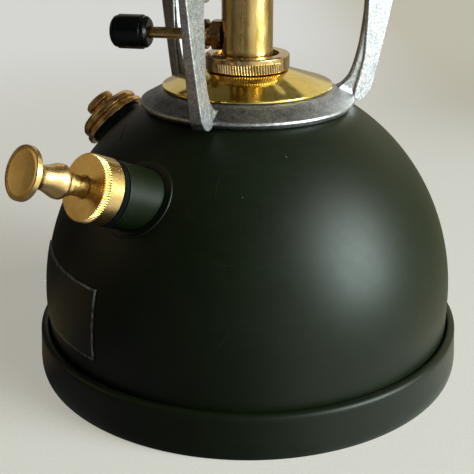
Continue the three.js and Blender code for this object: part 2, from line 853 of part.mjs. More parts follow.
function pumpCap() {
  const back = collar_front + washer_length + 2 * fit_gap;
  const front = back + pump_cap_length;
  const hole = rod_radius + rod_hole_play;
  const bore = barrel_thread_radius + fit_gap;
  return turned([
    [bore, back],
    [pump_cap_radius, back],
    [pump_cap_radius, front - pump_cap_bevel],
    [pump_cap_radius - pump_cap_bevel, front],
    [hole, front],
    [hole, barrel_front + fit_gap],
    [bore, barrel_front + fit_gap],
  ], mid_sides);
}

function pumpKnob() {
  const length = pump_knob_end - pump_knob_start;
  const socket = rod_radius + fit_gap;
  const rim = pump_knob_end - pump_knob_rim;
  const body = pump_knob_places_share.map((share, i) =>
    [pump_knob_radii[i], pump_knob_start + length * share]);
  return turned([
    [0, rod_front + fit_gap],
    [socket, rod_front + fit_gap],
    [socket, pump_knob_start],
    [pump_knob_radii[0], pump_knob_start],
    ...body,
    [pump_knob_radius - pump_knob_rim, rim - pump_knob_dish / 2],
    [pump_knob_radius, rim],
    [pump_knob_radius, pump_knob_end - pump_knob_dish / 3],
    [pump_knob_radius - pump_knob_dish / 3, pump_knob_end],
    [pump_knob_radius - pump_knob_rim, pump_knob_end - pump_knob_dish],
    [0, pump_knob_end - pump_knob_dish],
  ], mid_sides);
}

function pumpCup() {
  return turned([
    [0, rod_back - cup_wall - fit_gap],
    [cup_radius, rod_back - cup_wall - fit_gap],
    [cup_radius, rod_back - cup_wall - fit_gap + cup_length],
    [cup_radius - cup_wall, rod_back - cup_wall - fit_gap + cup_length],
    [cup_radius - cup_wall, rod_back - fit_gap],
    [0, rod_back - fit_gap],
  ], small_sides);
}

function pumpSpring() {
  class Helix extends THREE.Curve {
    getPoint(share) {
      const angle = share * spring_turns * FULL_TURN;
      return new THREE.Vector3(
        spring_radius * Math.cos(angle),
        spring_radius * Math.sin(angle),
        rod_back + spring_wire + share * spring_length,
      );
    }
  }
  const section = new THREE.Shape(Array.from({ length: spring_sides }, (_, i) => {
    const angle = i * FULL_TURN / spring_sides;
    return new THREE.Vector2(spring_wire * Math.cos(angle), spring_wire * Math.sin(angle));
  }));
  return solid(new THREE.ExtrudeGeometry(section, {
    steps: spring_turns * spring_steps_per_turn,
    extrudePath: new Helix(),
  }));
}

function nonReturnValve() {
  const seat = barrel_back - fit_gap;
  return ring(valve_radius, valve_bore, seat - valve_length, seat, small_sides)
    .add(ring(valve_spigot_radius, valve_bore, seat - fit_gap, barrel_back + barrel_wall, small_sides));
}

addPiece(pumpGroup, "pump_barrel", pumpBarrel(), green_paint);
addPiece(pumpGroup, "pump_washer",
  ring(washer_radius, barrel_thread_radius + fit_gap, collar_front + fit_gap,
    collar_front + fit_gap + washer_length, mid_sides), rubber);
addPiece(pumpGroup, "pump_cap", pumpCap(), brass);
addPiece(pumpGroup, "pump_rod", rod(rod_radius, rod_back, rod_front, small_sides), brass);
addPiece(pumpGroup, "pump_knob", pumpKnob(), brass);
addPiece(pumpGroup, "pump_cup", pumpCup(), leather);
addPiece(pumpGroup, "pump_spring", pumpSpring(), steel);
addPiece(pumpGroup, "non_return_valve", nonReturnValve(), brass);

// Filler

const cap_inside = filler_neck_top + filler_gasket_wall + 2 * fit_gap;
const cap_top = cap_inside + cap_top_wall;
const air_low = cap_top + cap_crown_rise + fit_gap;

function fillerNeck() {
  const flange = -dome_wall - filler_flange_drop + filler_flange_wall;
  return ring(filler_neck_radius, filler_bore, filler_neck_back, filler_neck_top, mid_sides)
    .add(ring(filler_flange_radius, filler_bore, flange - filler_flange_wall, flange, mid_sides));
}

function fillerCap() {
  const bore = filler_neck_radius + fit_gap;
  const hole = air_stem_radius + fit_gap;
  const ring_top = cap_foot + cap_ring;
  const groove_top = ring_top + cap_groove;
  return turned([
    [bore, cap_foot],
    [cap_radius, cap_foot],
    [cap_radius, ring_top - cap_ring * 0.2],
    [cap_radius - cap_groove_depth / 2, ring_top],
    [cap_ridge_radius - cap_groove_depth / 2, groove_top - cap_groove / 2],
    [cap_ridge_radius, groove_top],
    [cap_ridge_radius, groove_top + cap_ridge],
    [cap_ridge_radius - cap_groove_depth, cap_top],
    [cap_crown_radius + cap_crown_rise, cap_top],
    [cap_crown_radius, cap_top + cap_crown_rise],
    [hole, cap_top + cap_crown_rise],
    [hole, cap_inside],
    [bore, cap_inside],
  ], mid_sides);
}

function airReleaseScrew() {
  const knob_low = air_low + air_waist_length;
  const knob_top = knob_low + air_knob_length;
  return turned([
    [0, air_low - air_stem_length],
    [air_stem_radius, air_low - air_stem_length],
    [air_stem_radius, air_low],
    [air_waist_radius, air_low],
    [air_waist_radius, knob_low],
    [air_knob_radius, knob_low + air_knob_length / 4],
    [air_knob_radius, knob_top - air_knob_length / 4],
    [air_knob_radius * 0.85, knob_top],
    [0, knob_top],
  ], small_sides);
}

addPiece(fillerGroup, "filler_neck", fillerNeck(), dark_plate);
addPiece(fillerGroup, "filler_gasket",
  ring(filler_neck_radius - fit_gap, filler_bore, filler_neck_top + fit_gap,
    cap_inside - fit_gap, small_sides), rubber);
addPiece(fillerGroup, "filler_cap", fillerCap(), aged_brass);
addPiece(fillerGroup, "air_release_screw", airReleaseScrew(), aged_brass);

// Vaporiser, jet and burner

const hex_low_z = tube_top_z + fit_gap;
const burner_low_z = vaporiser_top_z - burner_neck_height + fit_gap;
const burner_top_z = burner_low_z + burner_height;
const nozzle_low_z = burner_low_z + nozzle_neck_inset - nozzle_height + burner_neck_height / 2;
const nozzle_flange_z = burner_low_z - fit_gap - nozzle_flange_wall;

function vaporiserTube() {
  const hex_top_z = hex_low_z + vaporiser_hex_length;
  const shoulder_z = tube_top_z - tube_shoulder;
  const tube = ring(vaporiser_radius, vaporiser_bore, shoulder_z, vaporiser_top_z, small_sides);
  const hex = drawn(hexagon(vaporiser_hex_radius), hex_low_z, hex_top_z)
    .subtract(rod(vaporiser_bore, hex_low_z - overrun, hex_top_z + overrun, small_sides));
  return tube.add(hex);
}

function burnerNozzle() {
  const flange_top_z = nozzle_flange_z + nozzle_flange_wall;
  return ring(nozzle_radius, nozzle_bore, nozzle_low_z, nozzle_low_z + nozzle_height, mid_sides)
    .add(ring(nozzle_flange_radius, nozzle_bore, nozzle_flange_z, flange_top_z, mid_sides));
}

function burnerBody() {
  const neck_bore_radius = nozzle_radius + fit_gap;
  const neck_top = burner_low_z + burner_neck_height;
  const flange_z = burner_top_z - burner_flange_wall;
  const body = turned([
    [neck_bore_radius, burner_low_z],
    [burner_neck_radius, burner_low_z],
    [burner_neck_radius, neck_top],
    [burner_radius, neck_top + burner_neck_height / 2],
    [burner_radius, flange_z],
    [burner_flange_radius, flange_z],
    [burner_flange_radius, burner_top_z],
    [burner_hole, burner_top_z],
    [burner_hole, burner_top_z - burner_wall],
    [burner_radius - burner_wall, burner_top_z - burner_wall],
    [burner_radius - burner_wall, neck_top + burner_neck_height / 2 + burner_wall],
    [neck_bore_radius, neck_top + burner_wall],
  ], mid_sides);
  const vent = placed(
    rod(burner_vent_radius, flange_z - overrun, burner_top_z + overrun, fine_sides),
    new THREE.Matrix4().makeTranslation((burner_radius + chimney_radius - 2 * chimney_wall) / 2, 0, 0),
  );
  return body.subtract(repeated(vent, burner_vent_count));
}

function mantleShape() {
  const top = nozzle_flange_z - fit_gap;
  const outer = [];
  for (let i = 0; i <= mantle_steps; i += 1) {
    const share = i / mantle_steps;
    const belly = Math.sin(Math.PI * Math.min(1, 0.1 + 0.9 * share));
    const low = vaporiser_radius + 2 * fit_gap + mantle_wall;
    const high = nozzle_radius + fit_gap + mantle_wall;
    const ends = low + (high - low) * share;
    const radius = ends + (mantle_radius - ends) * Math.max(0, belly);
    outer.push([Math.max(radius, share > 0.8 ? high : low), top - mantle_length * (1 - share)]);
  }
  const inner = outer.map(([radius, height]) => [radius - mantle_wall, height]).reverse();
  return turned([...outer, ...inner], mid_sides);
}

function spiritCup() {
  const low = hex_low_z + vaporiser_hex_length + fit_gap;
  const inside = vaporiser_radius + fit_gap;
  return turned([
    [inside, low],
    [cup_outer, low],
    [cup_outer, low + cup_height],
    [cup_outer - cup_skin, low + cup_height],
    [cup_outer - cup_skin, low + cup_skin],
    [inside, low + cup_skin],
  ], mid_sides);
}

addPiece(lantern, "vaporiser", vaporiserTube(), brass);
addPiece(lantern, "spirit_cup", spiritCup(), brass);
addPiece(lantern, "jet",
  ring(jet_radius, jet_bore, vaporiser_top_z + fit_gap, vaporiser_top_z + jet_height, fine_sides), brass);
addPiece(lantern, "burner_nozzle", burnerNozzle(), ceramic);
addPiece(lantern, "burner_body", burnerBody(), steel);
addPiece(lantern, "mantle", mantleShape(), mantle_cloth);

// Gallery and globe

function galleryPlate() {
  const plain = turned([
    [gallery_hole_radius, gallery_z],
    [gallery_radius, gallery_z],
    [gallery_radius, gallery_z + gallery_rim_height],
    [gallery_radius - gallery_rim_wall, gallery_z + gallery_rim_height],
    [gallery_radius - gallery_rim_wall, gallery_z + gallery_wall],
    [gallery_hole_radius, gallery_z + gallery_wall],
  ], round_sides);
  const vent = placed(
    rod(gallery_vent_radius, gallery_z - overrun, gallery_z + overrun, fine_sides),
    new THREE.Matrix4().makeTranslation(gallery_vent_ring, 0, 0),
  );
  return plain.subtract(repeated(vent, gallery_vent_count));
}

function globeShape() {
  const top = globe_low_z + globe_height;
  return turned([
    [globe_radius - globe_wall, globe_low_z],
    [globe_radius, globe_low_z],
    [globe_radius, top],
    [globe_radius - globe_wall / 2, top + globe_lip],
    [globe_radius - globe_wall, top],
  ], round_sides);
}

addPiece(lantern, "gallery", galleryPlate(), steel);
addPiece(lantern, "globe", globeShape(), clear_glass);

// Top ring and its screws

const screw_azimuths = Array.from({ length: leg_count }, (_, i) =>
  first_leg_azimuth + i * FULL_TURN / leg_count);

function topRing() {
  const flat = ring(top_ring_outer, top_ring_inner, top_ring_low_z, top_ring_top_z, round_sides);
  const hole = placed(
    rod(screw_radius + fit_gap, top_ring_low_z - overrun, top_ring_top_z + overrun, fine_sides),
    new THREE.Matrix4().makeTranslation(screw_circle, 0, 0),
  );
  const tab = box(
    [top_ring_outer - overrun, -ear_width / 2, top_ring_low_z],
    [ear_outer, ear_width / 2, top_ring_top_z],
  ).add(box(
    [ear_inner, -ear_width / 2, top_ring_low_z],
    [ear_outer, ear_width / 2, ear_pivot_z + ear_rise],
  ));
  const bore = placed(
    rod(pivot_radius + fit_gap, ear_inner - overrun, ear_outer + overrun, fine_sides),
    axisFrame(new THREE.Vector3(0, 0, ear_pivot_z), 0, Math.PI / 2),
  );
  const ears = repeated(tab, 2, ear_azimuth).subtract(repeated(bore, 2, ear_azimuth));
  return flat.subtract(repeated(hole, leg_count, first_leg_azimuth)).add(ears);
}

function ringScrew(azimuth) {
  const head = rod(screw_head_radius, top_ring_top_z + fit_gap,
    top_ring_top_z + fit_gap + screw_head_height, fine_sides);
  const shank = rod(screw_radius, leg_top_z - screw_length, top_ring_top_z + 2 * fit_gap, fine_sides);
  const out = new THREE.Matrix4().makeTranslation(screw_circle, 0, 0);
  return turnedAbout(placed(head.add(shank), out), azimuth);
}

addPiece(lantern, "top_ring", topRing(), steel);
screw_azimuths.forEach((azimuth, i) =>
  addPiece(lantern, `ring_screw_${i + 1}`, ringScrew(azimuth), steel));

// Chimney and the bracket that carries the hood's stud

const chimney_flange_z = top_ring_top_z + fit_gap;
const ledge_z = burner_top_z - burner_flange_wall - fit_gap;
const hood_low_z = top_ring_top_z + hood_low_gap;
const hood_shoulder_z = hood_low_z + hood_skirt_height;
const hood_waist_z = hood_shoulder_z + hood_shoulder_height;
const hood_crown_z = hood_waist_z + hood_crown_height;
const hood_top_z = hood_crown_z + hood_cap_rise;

function innerCasing() {
  const inside = chimney_radius - chimney_wall;
  const flange_top_z = chimney_flange_z + chimney_flange_wall;
  const ledge_bore = inside - 2 * chimney_ledge_wall;
  const ledge_low_z = ledge_z - chimney_ledge_wall;
  return ring(chimney_radius, inside, chimney_low_z, chimney_top_z, round_sides)
    .add(ring(chimney_flange_radius, inside, chimney_flange_z, flange_top_z, round_sides))
    .add(ring(chimney_radius, ledge_bore, ledge_low_z, ledge_z, round_sides));
}

function hoodBracket() {
  const reach = chimney_radius + fit_gap + bracket_wall;
  const low = chimney_top_z + fit_gap;
  const strap = box([-reach, -bracket_width / 2, low], [reach, bracket_width / 2, low + bracket_wall]);
  const leg = box(
    [reach - bracket_wall, -bracket_width / 2, low - bracket_leg],
    [reach, bracket_width / 2, low + bracket_wall / 2],
  );
  const stud = rod(stud_radius, low + bracket_wall / 2, hood_top_z + stud_rise, fine_sides);
  return strap.add(repeated(leg, 2)).add(stud);
}

addPiece(lantern, "inner_casing", innerCasing(), steel);
addPiece(lantern, "hood_bracket", hoodBracket(), steel);

// Hood and its nut

function hoodShell() {
  const outline = [
    [hood_radius, hood_low_z],
    [hood_radius, hood_shoulder_z],
    [(hood_radius * 2 + hood_waist_radius) / 3, hood_shoulder_z + hood_shoulder_height * 0.45],
    [hood_waist_radius, hood_waist_z],
    [hood_waist_radius, hood_crown_z - hood_wall],
    [hood_crown_radius, hood_crown_z],
    [hood_crown_radius * 0.93, hood_crown_z + hood_cap_rise * 0.45],
    [hood_crown_radius * 0.7, hood_crown_z + hood_cap_rise * 0.78],
    [stud_radius + fit_gap, hood_top_z],
  ];
  const inside = outline.map(([radius, height], i) => [
    i === outline.length - 1 ? radius : radius - hood_wall,
    i === 0 ? height : height - hood_wall * (i > 4 ? 1.4 : 0.4),
  ]).reverse();
  const shell = turned([...outline, ...inside], round_sides);
  const slot = (radius, low, height) => box(
    [radius - 2 * overrun, -hood_slot_width / 2, low],
    [radius + overrun, hood_slot_width / 2, low + height],
  );
  const skirt_slot_z = hood_low_z + (hood_skirt_height - hood_slot_height) / 2;
  const crown_slot_z = hood_waist_z + (hood_crown_height - crown_slot_height) / 2;
  const skirtSlot = slot(hood_radius, skirt_slot_z, hood_slot_height);
  const crownSlot = slot(hood_waist_radius, crown_slot_z, crown_slot_height);
  return shell
    .subtract(repeated(skirtSlot, hood_slot_count))
    .subtract(repeated(crownSlot, crown_slot_count));
}

function hoodNut() {
  const low = hood_top_z + fit_gap;
  const hole = stud_radius + fit_gap;
  return turned([
    [hole, low],
    [hood_nut_radius - hood_nut_round, low],
    [hood_nut_radius, low + hood_nut_round],
    [hood_nut_radius, low + hood_nut_height - hood_nut_round],
    [hood_nut_radius - hood_nut_round, low + hood_nut_height],
    [hole, low + hood_nut_height],
  ], mid_sides);
}

addPiece(lantern, "hood", hoodShell(), green_paint);
addPiece(lantern, "hood_nut", hoodNut(), brass);

// Bail and its pivots

/** The bail's wire: up one side, over in a half circle and down the other. */
class BailLine extends THREE.Curve {
  getPoint(share) {
    const arc = Math.PI * bail_radius;
    const total = arc + 2 * bail_straight;
    const way = share * total;
    if (way < bail_straight) return new THREE.Vector3(bail_radius, 0, way);
    if (way > bail_straight + arc) return new THREE.Vector3(-bail_radius, 0, total - way);
    const angle = (way - bail_straight) / bail_radius;
    return new THREE.Vector3(bail_radius * Math.cos(angle), 0, bail_straight + bail_radius * Math.sin(angle));
  }
}

function bailHandle() {
  const section = new THREE.Shape(Array.from({ length: bail_wire_sides }, (_, i) => {
    const angle = i * FULL_TURN / bail_wire_sides;
    return new THREE.Vector2(bail_wire * Math.cos(angle), bail_wire * Math.sin(angle));
  }));
  const wire = solid(new THREE.ExtrudeGeometry(section, { steps: bail_steps, extrudePath: new BailLine() }));
  const across = new THREE.Matrix4().makeRotationY(Math.PI / 2);
  const eye = placed(rod(bail_eye_radius, bail_radius - bail_eye_wall / 2,
    bail_radius + bail_eye_wall / 2, small_sides), across);
  const hole = placed(rod(pivot_radius + fit_gap, -2 * bail_radius, 2 * bail_radius, fine_sides), across);
  return wire.add(repeated(eye, 2)).subtract(hole);
}

function bailPivot() {
  const head_foot = bail_radius + bail_eye_wall / 2 + fit_gap;
  return rod(pivot_radius, ear_inner, head_foot + fit_gap, fine_sides)
    .add(rod(pivot_head_radius, head_foot, head_foot + pivot_head_wall, fine_sides));
}

const bailGroup = new THREE.Group();
bailGroup.position.set(0, 0, ear_pivot_z);
bailGroup.rotation.set(-bail_rest_angle, 0, ear_azimuth, "ZYX");
lantern.add(bailGroup);
addPiece(bailGroup, "bail_handle", bailHandle(), steel);
["bail_pivot_right", "bail_pivot_left"].forEach((name, side) => {
  const frame = axisFrame(new THREE.Vector3(0, 0, ear_pivot_z), ear_azimuth + side * Math.PI, Math.PI / 2);
  addPiece(lantern, name, placed(bailPivot(), frame), brass);
});

export default lantern;
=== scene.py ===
"""Paraffin pressure lantern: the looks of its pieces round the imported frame."""
import json
import math

import bmesh
import bpy
import numpy as np
from mathutils import Matrix, Vector
from mathutils.geometry import delaunay_2d_cdt


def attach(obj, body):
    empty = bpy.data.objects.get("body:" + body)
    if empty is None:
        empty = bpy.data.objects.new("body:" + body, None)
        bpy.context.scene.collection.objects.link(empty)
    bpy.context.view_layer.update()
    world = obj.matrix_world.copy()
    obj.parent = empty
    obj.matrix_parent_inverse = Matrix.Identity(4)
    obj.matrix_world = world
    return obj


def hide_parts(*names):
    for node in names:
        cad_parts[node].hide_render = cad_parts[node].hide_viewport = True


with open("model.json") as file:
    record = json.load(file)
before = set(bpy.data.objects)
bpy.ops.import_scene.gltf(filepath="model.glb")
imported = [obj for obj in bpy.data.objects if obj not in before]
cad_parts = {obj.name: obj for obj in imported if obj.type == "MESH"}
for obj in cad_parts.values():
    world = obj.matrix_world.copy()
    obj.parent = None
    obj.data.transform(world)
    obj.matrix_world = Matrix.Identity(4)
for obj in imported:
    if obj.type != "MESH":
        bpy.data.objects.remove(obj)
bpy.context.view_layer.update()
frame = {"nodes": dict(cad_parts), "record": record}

MM = 0.001
TURN = 2 * math.pi
DEG = math.pi / 180

# Sizes in millimetres that several pieces share
DOME_R, DOME_RISE, DOME_Z = 81.5, 85.6, 28.0
RING_R, RING_RIM_Z, RING_SLOPE = 41.0, 105.55, 0.535
DISC_R, DISC_EDGE_Z, DISC_SLOPE = 32.5, 111.2, 0.321
NUT_R, NUT_LOW, NUT_TOP = 16.0, 117.1, 122.7
TUBE_R = 9.6
LEG_AZIMUTHS = [(8.9 + 120 * k) * DEG for k in range(3)]
LEG_TOP = 250.0
GLOBE_R, GLOBE_BORE = 42.6, 40.6
HOOD_R, WAIST_R = 53.6, 36.0
PIVOT_Z, EAR_AZIMUTH = 255.9, 38.9 * DEG
LABEL_AZIMUTH, LABEL_WIDE, LABEL_HIGH, LABEL_LOW = -151.5 * DEG, 56.0, 27.0, 24.5


def placed(first, second, third, origin):
    """Matrix whose columns are three axes and an origin."""
    matrix = np.eye(4)
    matrix[:3] = np.stack([first, second, third, origin], 1)
    return matrix


def axis_frame(origin, azimuth, tilt):
    """Matrix of an axis: local +Z leaves the origin towards the azimuth, tilted from upright."""
    ca, sa, ct, st = math.cos(azimuth), math.sin(azimuth), math.cos(tilt), math.sin(tilt)
    return placed((ca * ct, sa * ct, -st), (-sa, ca, 0), (ca * st, sa * st, ct), origin)


def around(radius, angle, height=0.0):
    """Points at a radius and an angle round Z, as (x, y, z)."""
    return np.stack(np.broadcast_arrays(radius * np.cos(angle), radius * np.sin(angle), height), -1)


def dome_z(radius):
    """Height of the tank's elliptical dome at a radius: centre plus rise times root(1 - (r/R)^2)."""
    return DOME_Z + DOME_RISE * np.sqrt(1 - (np.asarray(radius) / DOME_R) ** 2)


def ring_top(radius):
    """Height of the cast ring's conical top at a radius."""
    return RING_RIM_Z + (RING_R - radius) * RING_SLOPE


def disc_top(radius):
    """Height of the brass disc's conical top at a radius."""
    return DISC_EDGE_Z + (DISC_R - radius) * DISC_SLOPE


PUMP_AZIMUTH, PUMP_ELEVATION = -136.8 * DEG, 24.2 * DEG
PUMP_OUT, PUMP_ASIDE, PUMP_Z = 66, 10, 83.4
PUMP_FRAME = axis_frame(
    around(PUMP_OUT, PUMP_AZIMUTH, PUMP_Z) + around(PUMP_ASIDE, PUMP_AZIMUTH + math.pi / 2),
    PUMP_AZIMUTH, math.pi / 2 - PUMP_ELEVATION)
FILLER_AZIMUTH, FILLER_R = 155.2 * DEG, 58.3
FILLER_TILT = math.atan2(FILLER_R / DOME_R ** 2, (dome_z(FILLER_R) - DOME_Z) / DOME_RISE ** 2)
FILLER_FRAME = axis_frame(around(FILLER_R, FILLER_AZIMUTH, dome_z(FILLER_R)), FILLER_AZIMUTH, FILLER_TILT)
SPINDLE_FRAME = axis_frame((0, 0, 129.0), 167.3 * DEG, math.pi / 2)


# Profiles

def rounded(corners, closed=False, steps=5):
    """Profile through (radius, height, fillet) corners. A fillet f at a corner of inner angle A is an
    arc of radius f that touches both sides at f / tan(A/2) from it; a point just outside each end
    of the arc keeps the flat sides flat when shaded."""
    most_of_side, guard_share = 0.46, 0.12
    corners = [tuple(c) + (0,) * (3 - len(c)) for c in corners]
    out = []
    count = len(corners)
    for i, (x, y, fillet) in enumerate(corners):
        here = np.array((x, y), float)
        if not closed and i in (0, count - 1) or fillet <= 0:
            out.append(here)
            continue
        back = np.array(corners[i - 1][:2], float) - here
        ahead = np.array(corners[(i + 1) % count][:2], float) - here
        back_length, ahead_length = np.linalg.norm(back), np.linalg.norm(ahead)
        back, ahead = back / back_length, ahead / ahead_length
        half = math.acos(np.clip(back @ ahead, -1, 1)) / 2
        reach = min(fillet / math.tan(half), most_of_side * back_length, most_of_side * ahead_length)
        radius = reach * math.tan(half)
        middle = here + (back + ahead) / np.linalg.norm(back + ahead) * radius / math.sin(half)
        guard = reach * guard_share
        out.append(here + back * (reach + guard))
        first, last = here + back * reach - middle, here + ahead * reach - middle
        sweep = math.atan2(first[0] * last[1] - first[1] * last[0], first @ last)
        for step in range(steps + 1):
            angle = sweep * step / steps
            c, s = math.cos(angle), math.sin(angle)
            out.append(middle + (c * first[0] - s * first[1], s * first[0] + c * first[1]))
        out.append(here + ahead * (reach + guard))
    return np.array(out)


def ring(corners, steps=5):
    """A profile that closes on itself."""
    return rounded(corners, True, steps)


def smooth_through(points, count):
    """Catmull-Rom curve through the points, count points long."""
    points = np.asarray(points, float)
    padded = np.vstack([2 * points[0] - points[1], points, 2 * points[-1] - points[-2]])
    way = np.linspace(0, len(points) - 1, count)
    span = np.minimum(way.astype(int), len(points) - 2)
    t = (way - span)[:, None]
    a, b, c, d = (padded[span + k] for k in range(4))
    return 0.5 * (2 * b + (c - a) * t + (2 * a - 5 * b + 4 * c - d) * t ** 2
                  + (3 * b - a - 3 * c + d) * t ** 3)


# Meshes. A shell is (points in millimetres, faces of three or more corners).

def moved(points, matrix):
    """Points in millimetres through a 4 x 4 matrix."""
    return points @ matrix[:3, :3].T + matrix[:3, 3]


def show(name, data, matrix=None):
    """An object of the scene, placed by a matrix in metres."""
    thing = bpy.data.objects.new(name, data)
    if matrix is not None:
        thing.matrix_world = Matrix(matrix.tolist())
    bpy.context.scene.collection.objects.link(thing)
    return thing


def make_piece(name, points, faces, sharp=40):
    """A mesh object at the origin, smooth but for edges sharper than the angle in degrees."""
    mesh = bpy.data.meshes.new(name)
    mesh.from_pydata((np.asarray(points) * MM).tolist(), [], faces)
    mesh.update()
    mesh.shade_smooth()
    mesh.set_sharp_from_angle(angle=sharp * DEG)
    return show(name, mesh)


def grid_faces(rows, columns, wrap_rows, wrap_columns):
    """Quads of a grid of points kept row by row; either direction may close on itself."""
    i = np.arange(rows if wrap_rows else rows - 1)
    j = np.arange(columns if wrap_columns else columns - 1)
    i, j = (k.ravel() for k in np.meshgrid(i, j, indexing="ij"))
    i2, j2 = (i + 1) % rows, (j + 1) % columns
    return np.stack([i * columns + j, i2 * columns + j, i2 * columns + j2, i * columns + j2], 1)


def revolved(profile, sides=160, ripple=None, angles=None):
    """Surface of revolution about Z. Point (i, j) is profile point j turned by angle i, its radius
    grown by ripple(angle, j). A profile that starts and ends on the axis closes in poles, and any
    other joins its last point to its first."""
    profile = np.asarray(profile, float)
    if angles is None:
        angles = np.arange(sides) * TURN / sides
    radius, height = profile[:, 0], profile[:, 1]
    spread = np.broadcast_to(radius, (len(angles), len(radius))).copy()
    if ripple is not None:
        spread = spread + ripple(angles[:, None], np.arange(len(radius))[None, :])
    points = around(spread, angles[:, None], height).reshape(-1, 3)
    closed = radius[0] > 0 or radius[-1] > 0
    quads = grid_faces(len(angles), len(radius), True, closed)
    if closed:
        return points, quads.tolist()
    merge = np.arange(len(points)).reshape(len(angles), len(radius))
    for end in (0, -1):
        merge[:, end] = merge[0, end]
    faces = [[quad[k] for k in range(4) if quad[k] != quad[k - 1]] for quad in merge.ravel()[quads].tolist()]
    used = sorted({k for face in faces for k in face})
    number = {k: place for place, k in enumerate(used)}
    return points[used], [[number[k] for k in face] for face in faces]


def outward(points, faces):
    """True if the faces of a closed shell point outwards: the sum of their signed volumes is positive."""
    total = 0.0
    by_length = {}
    for face in faces:
        by_length.setdefault(len(face), []).append(face)
    for length, group in by_length.items():
        corners = points[np.array(group)]
        for k in range(1, length - 1):
            total += (corners[:, 0] * np.cross(corners[:, k], corners[:, k + 1])).sum()
    return total > 0


def join_shells(shells):
    """Several shells as one, each turned to face outwards."""
    points, faces, first = [], [], 0
    for shell_points, shell_faces in shells:
        way = 1 if outward(shell_points, shell_faces) else -1
        faces.extend([k + first for k in face[::way]] for face in shell_faces)
        points.append(shell_points)
        first += len(shell_points)
    return np.vstack(points), faces


def lofted(rows):
    """Closed shell through sections of equal length, flat at both ends."""
    count = len(rows[0])
    faces = grid_faces(len(rows), count, False, True).tolist()
    faces.append(list(range(count)))
    faces.append(list(range((len(rows) - 1) * count, len(rows) * count))[::-1])
    return np.vstack(rows), faces


def rounded_box(low, high, edge=0.4):
    """Box whose upright edges are rounded: a rounded rectangle at four heights, drawn in at both ends."""
    low, high = np.array(low, float), np.array(high, float)
    rows = []
    for height, inset in ((low[2], edge), (low[2] + edge, 0), (high[2] - edge, 0), (high[2], edge)):
        (left, near), (right, far) = low[:2] + inset, high[:2] - inset
        flat = ring([(left, near, edge), (right, near, edge), (right, far, edge), (left, far, edge)], 3)
        rows.append(np.column_stack([flat, np.full(len(flat), height)]))
    return lofted(rows)


def about_z(shell, angle):
    """A shell turned about Z."""
    return moved(shell[0], axis_frame((0, 0, 0), angle, 0)), shell[1]


def turned_piece(name, profile, matrix=None, sharp=40, **more):
    """A named piece turned from one profile, placed by a matrix."""
    points, faces = join_shells([revolved(profile, **more)])
    if matrix is not None:
        points = moved(points, matrix)
    return make_piece(name, points, faces, sharp)


def finish_piece(piece, body, slot, node, look=None):
    """Rides the piece on its body, hides the node that it stands for and gives it the
    slot's look or another."""
    piece.data.materials.append(LOOKS[look or slot])
    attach(piece, body)
    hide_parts(node)


# Nodes

class Nodes:
    """Adds nodes to one tree by short calls. A value may be a number, a colour, a socket or a node."""

    def __init__(self, tree):
        self.tree = tree

    def feed(self, socket, value):
        if isinstance(value, bpy.types.Node):
            value = value.outputs[0]
        if isinstance(value, bpy.types.NodeSocket):
            self.tree.links.new(value, socket)
        elif socket.type == "RGBA" and len(value) == 3:
            socket.default_value = (*value, 1)
        else:
            socket.default_value = value

    def add(self, kind, settings=None, **inputs):
        node = self.tree.nodes.new("ShaderNode" + kind)
        for key, value in (settings or {}).items():
            setattr(node, key, value)
        for name, value in inputs.items():
            self.feed(node.inputs[name.replace("_", " ")], value)
        return node

    def ordered(self, kind, settings, values, first=0):
        """A node whose inputs are fed by their order, from the first one on."""
        node = self.add(kind, settings)
        for index, value in enumerate(values, first):
            self.feed(node.inputs[index], value)
        return node

    def math(self, operation, *values):
        return self.ordered("Math", {"operation": operation}, values).outputs[0]

    def plus(self, one, other):
        return self.math("ADD", one, other)

    def minus(self, one, other):
        return self.math("SUBTRACT", one, other)

    def times(self, one, other):
        return self.math("MULTIPLY", one, other)

    def most(self, one, other):
        return self.math("MAXIMUM", one, other)

    def vector(self, operation, *values, output="Vector"):
        return self.ordered("VectorMath", {"operation": operation}, values).outputs[output]

    def mix(self, factor, first, second, blend="MIX"):
        node = self.ordered("Mix", {"data_type": "RGBA", "blend_type": blend}, (first, second), 6)
        self.feed(node.inputs[0], factor)
        return node.outputs[2]

    def mix_shader(self, factor, first, second):
        return self.ordered("MixShader", None, (factor, first, second)).outputs[0]

    def span(self, value, low, high, to_low=0.0, to_high=1.0):
        """The value from low..high carried to to_low..to_high, kept inside it and eased at both ends."""
        return self.add("MapRange", {"interpolation_type": "SMOOTHSTEP"}, Value=value, From_Min=low,
                        From_Max=high, To_Min=to_low, To_Max=to_high).outputs[0]

    def ramp(self, factor, stops):
        node = self.add("ValToRGB", Fac=factor)
        band = node.color_ramp
        while len(band.elements) < len(stops):
            band.elements.new(0.5)
        for element, (place, colour) in zip(band.elements, stops):
            element.position = place
            element.color = (colour, colour, colour, 1) if isinstance(colour, float) else (*colour, 1)
        return node.outputs[0]

    def noise(self, vector, scale, detail=2.0, roughness=0.5, distortion=0.0):
        return self.add("TexNoise", Vector=vector, Scale=scale, Detail=detail, Roughness=roughness,
                        Distortion=distortion).outputs[0]

    def mapped(self, vector, scale, turn=(0, 0, 0)):
        return self.add("Mapping", Vector=vector, Scale=scale, Rotation=turn).outputs[0]

    def place(self):
        return self.add("TexCoord").outputs["Object"]

    def split(self, vector):
        return self.add("SeparateXYZ", Vector=vector).outputs[:3]

    def bump(self, height, distance, strength):
        return self.add("Bump", Height=height, Distance=distance, Strength=strength).outputs[0]

    def group(self, tree, **inputs):
        node = self.add("Group", {"node_tree": tree})
        for name, value in inputs.items():
            self.feed(node.inputs[name], value)
        return node.outputs


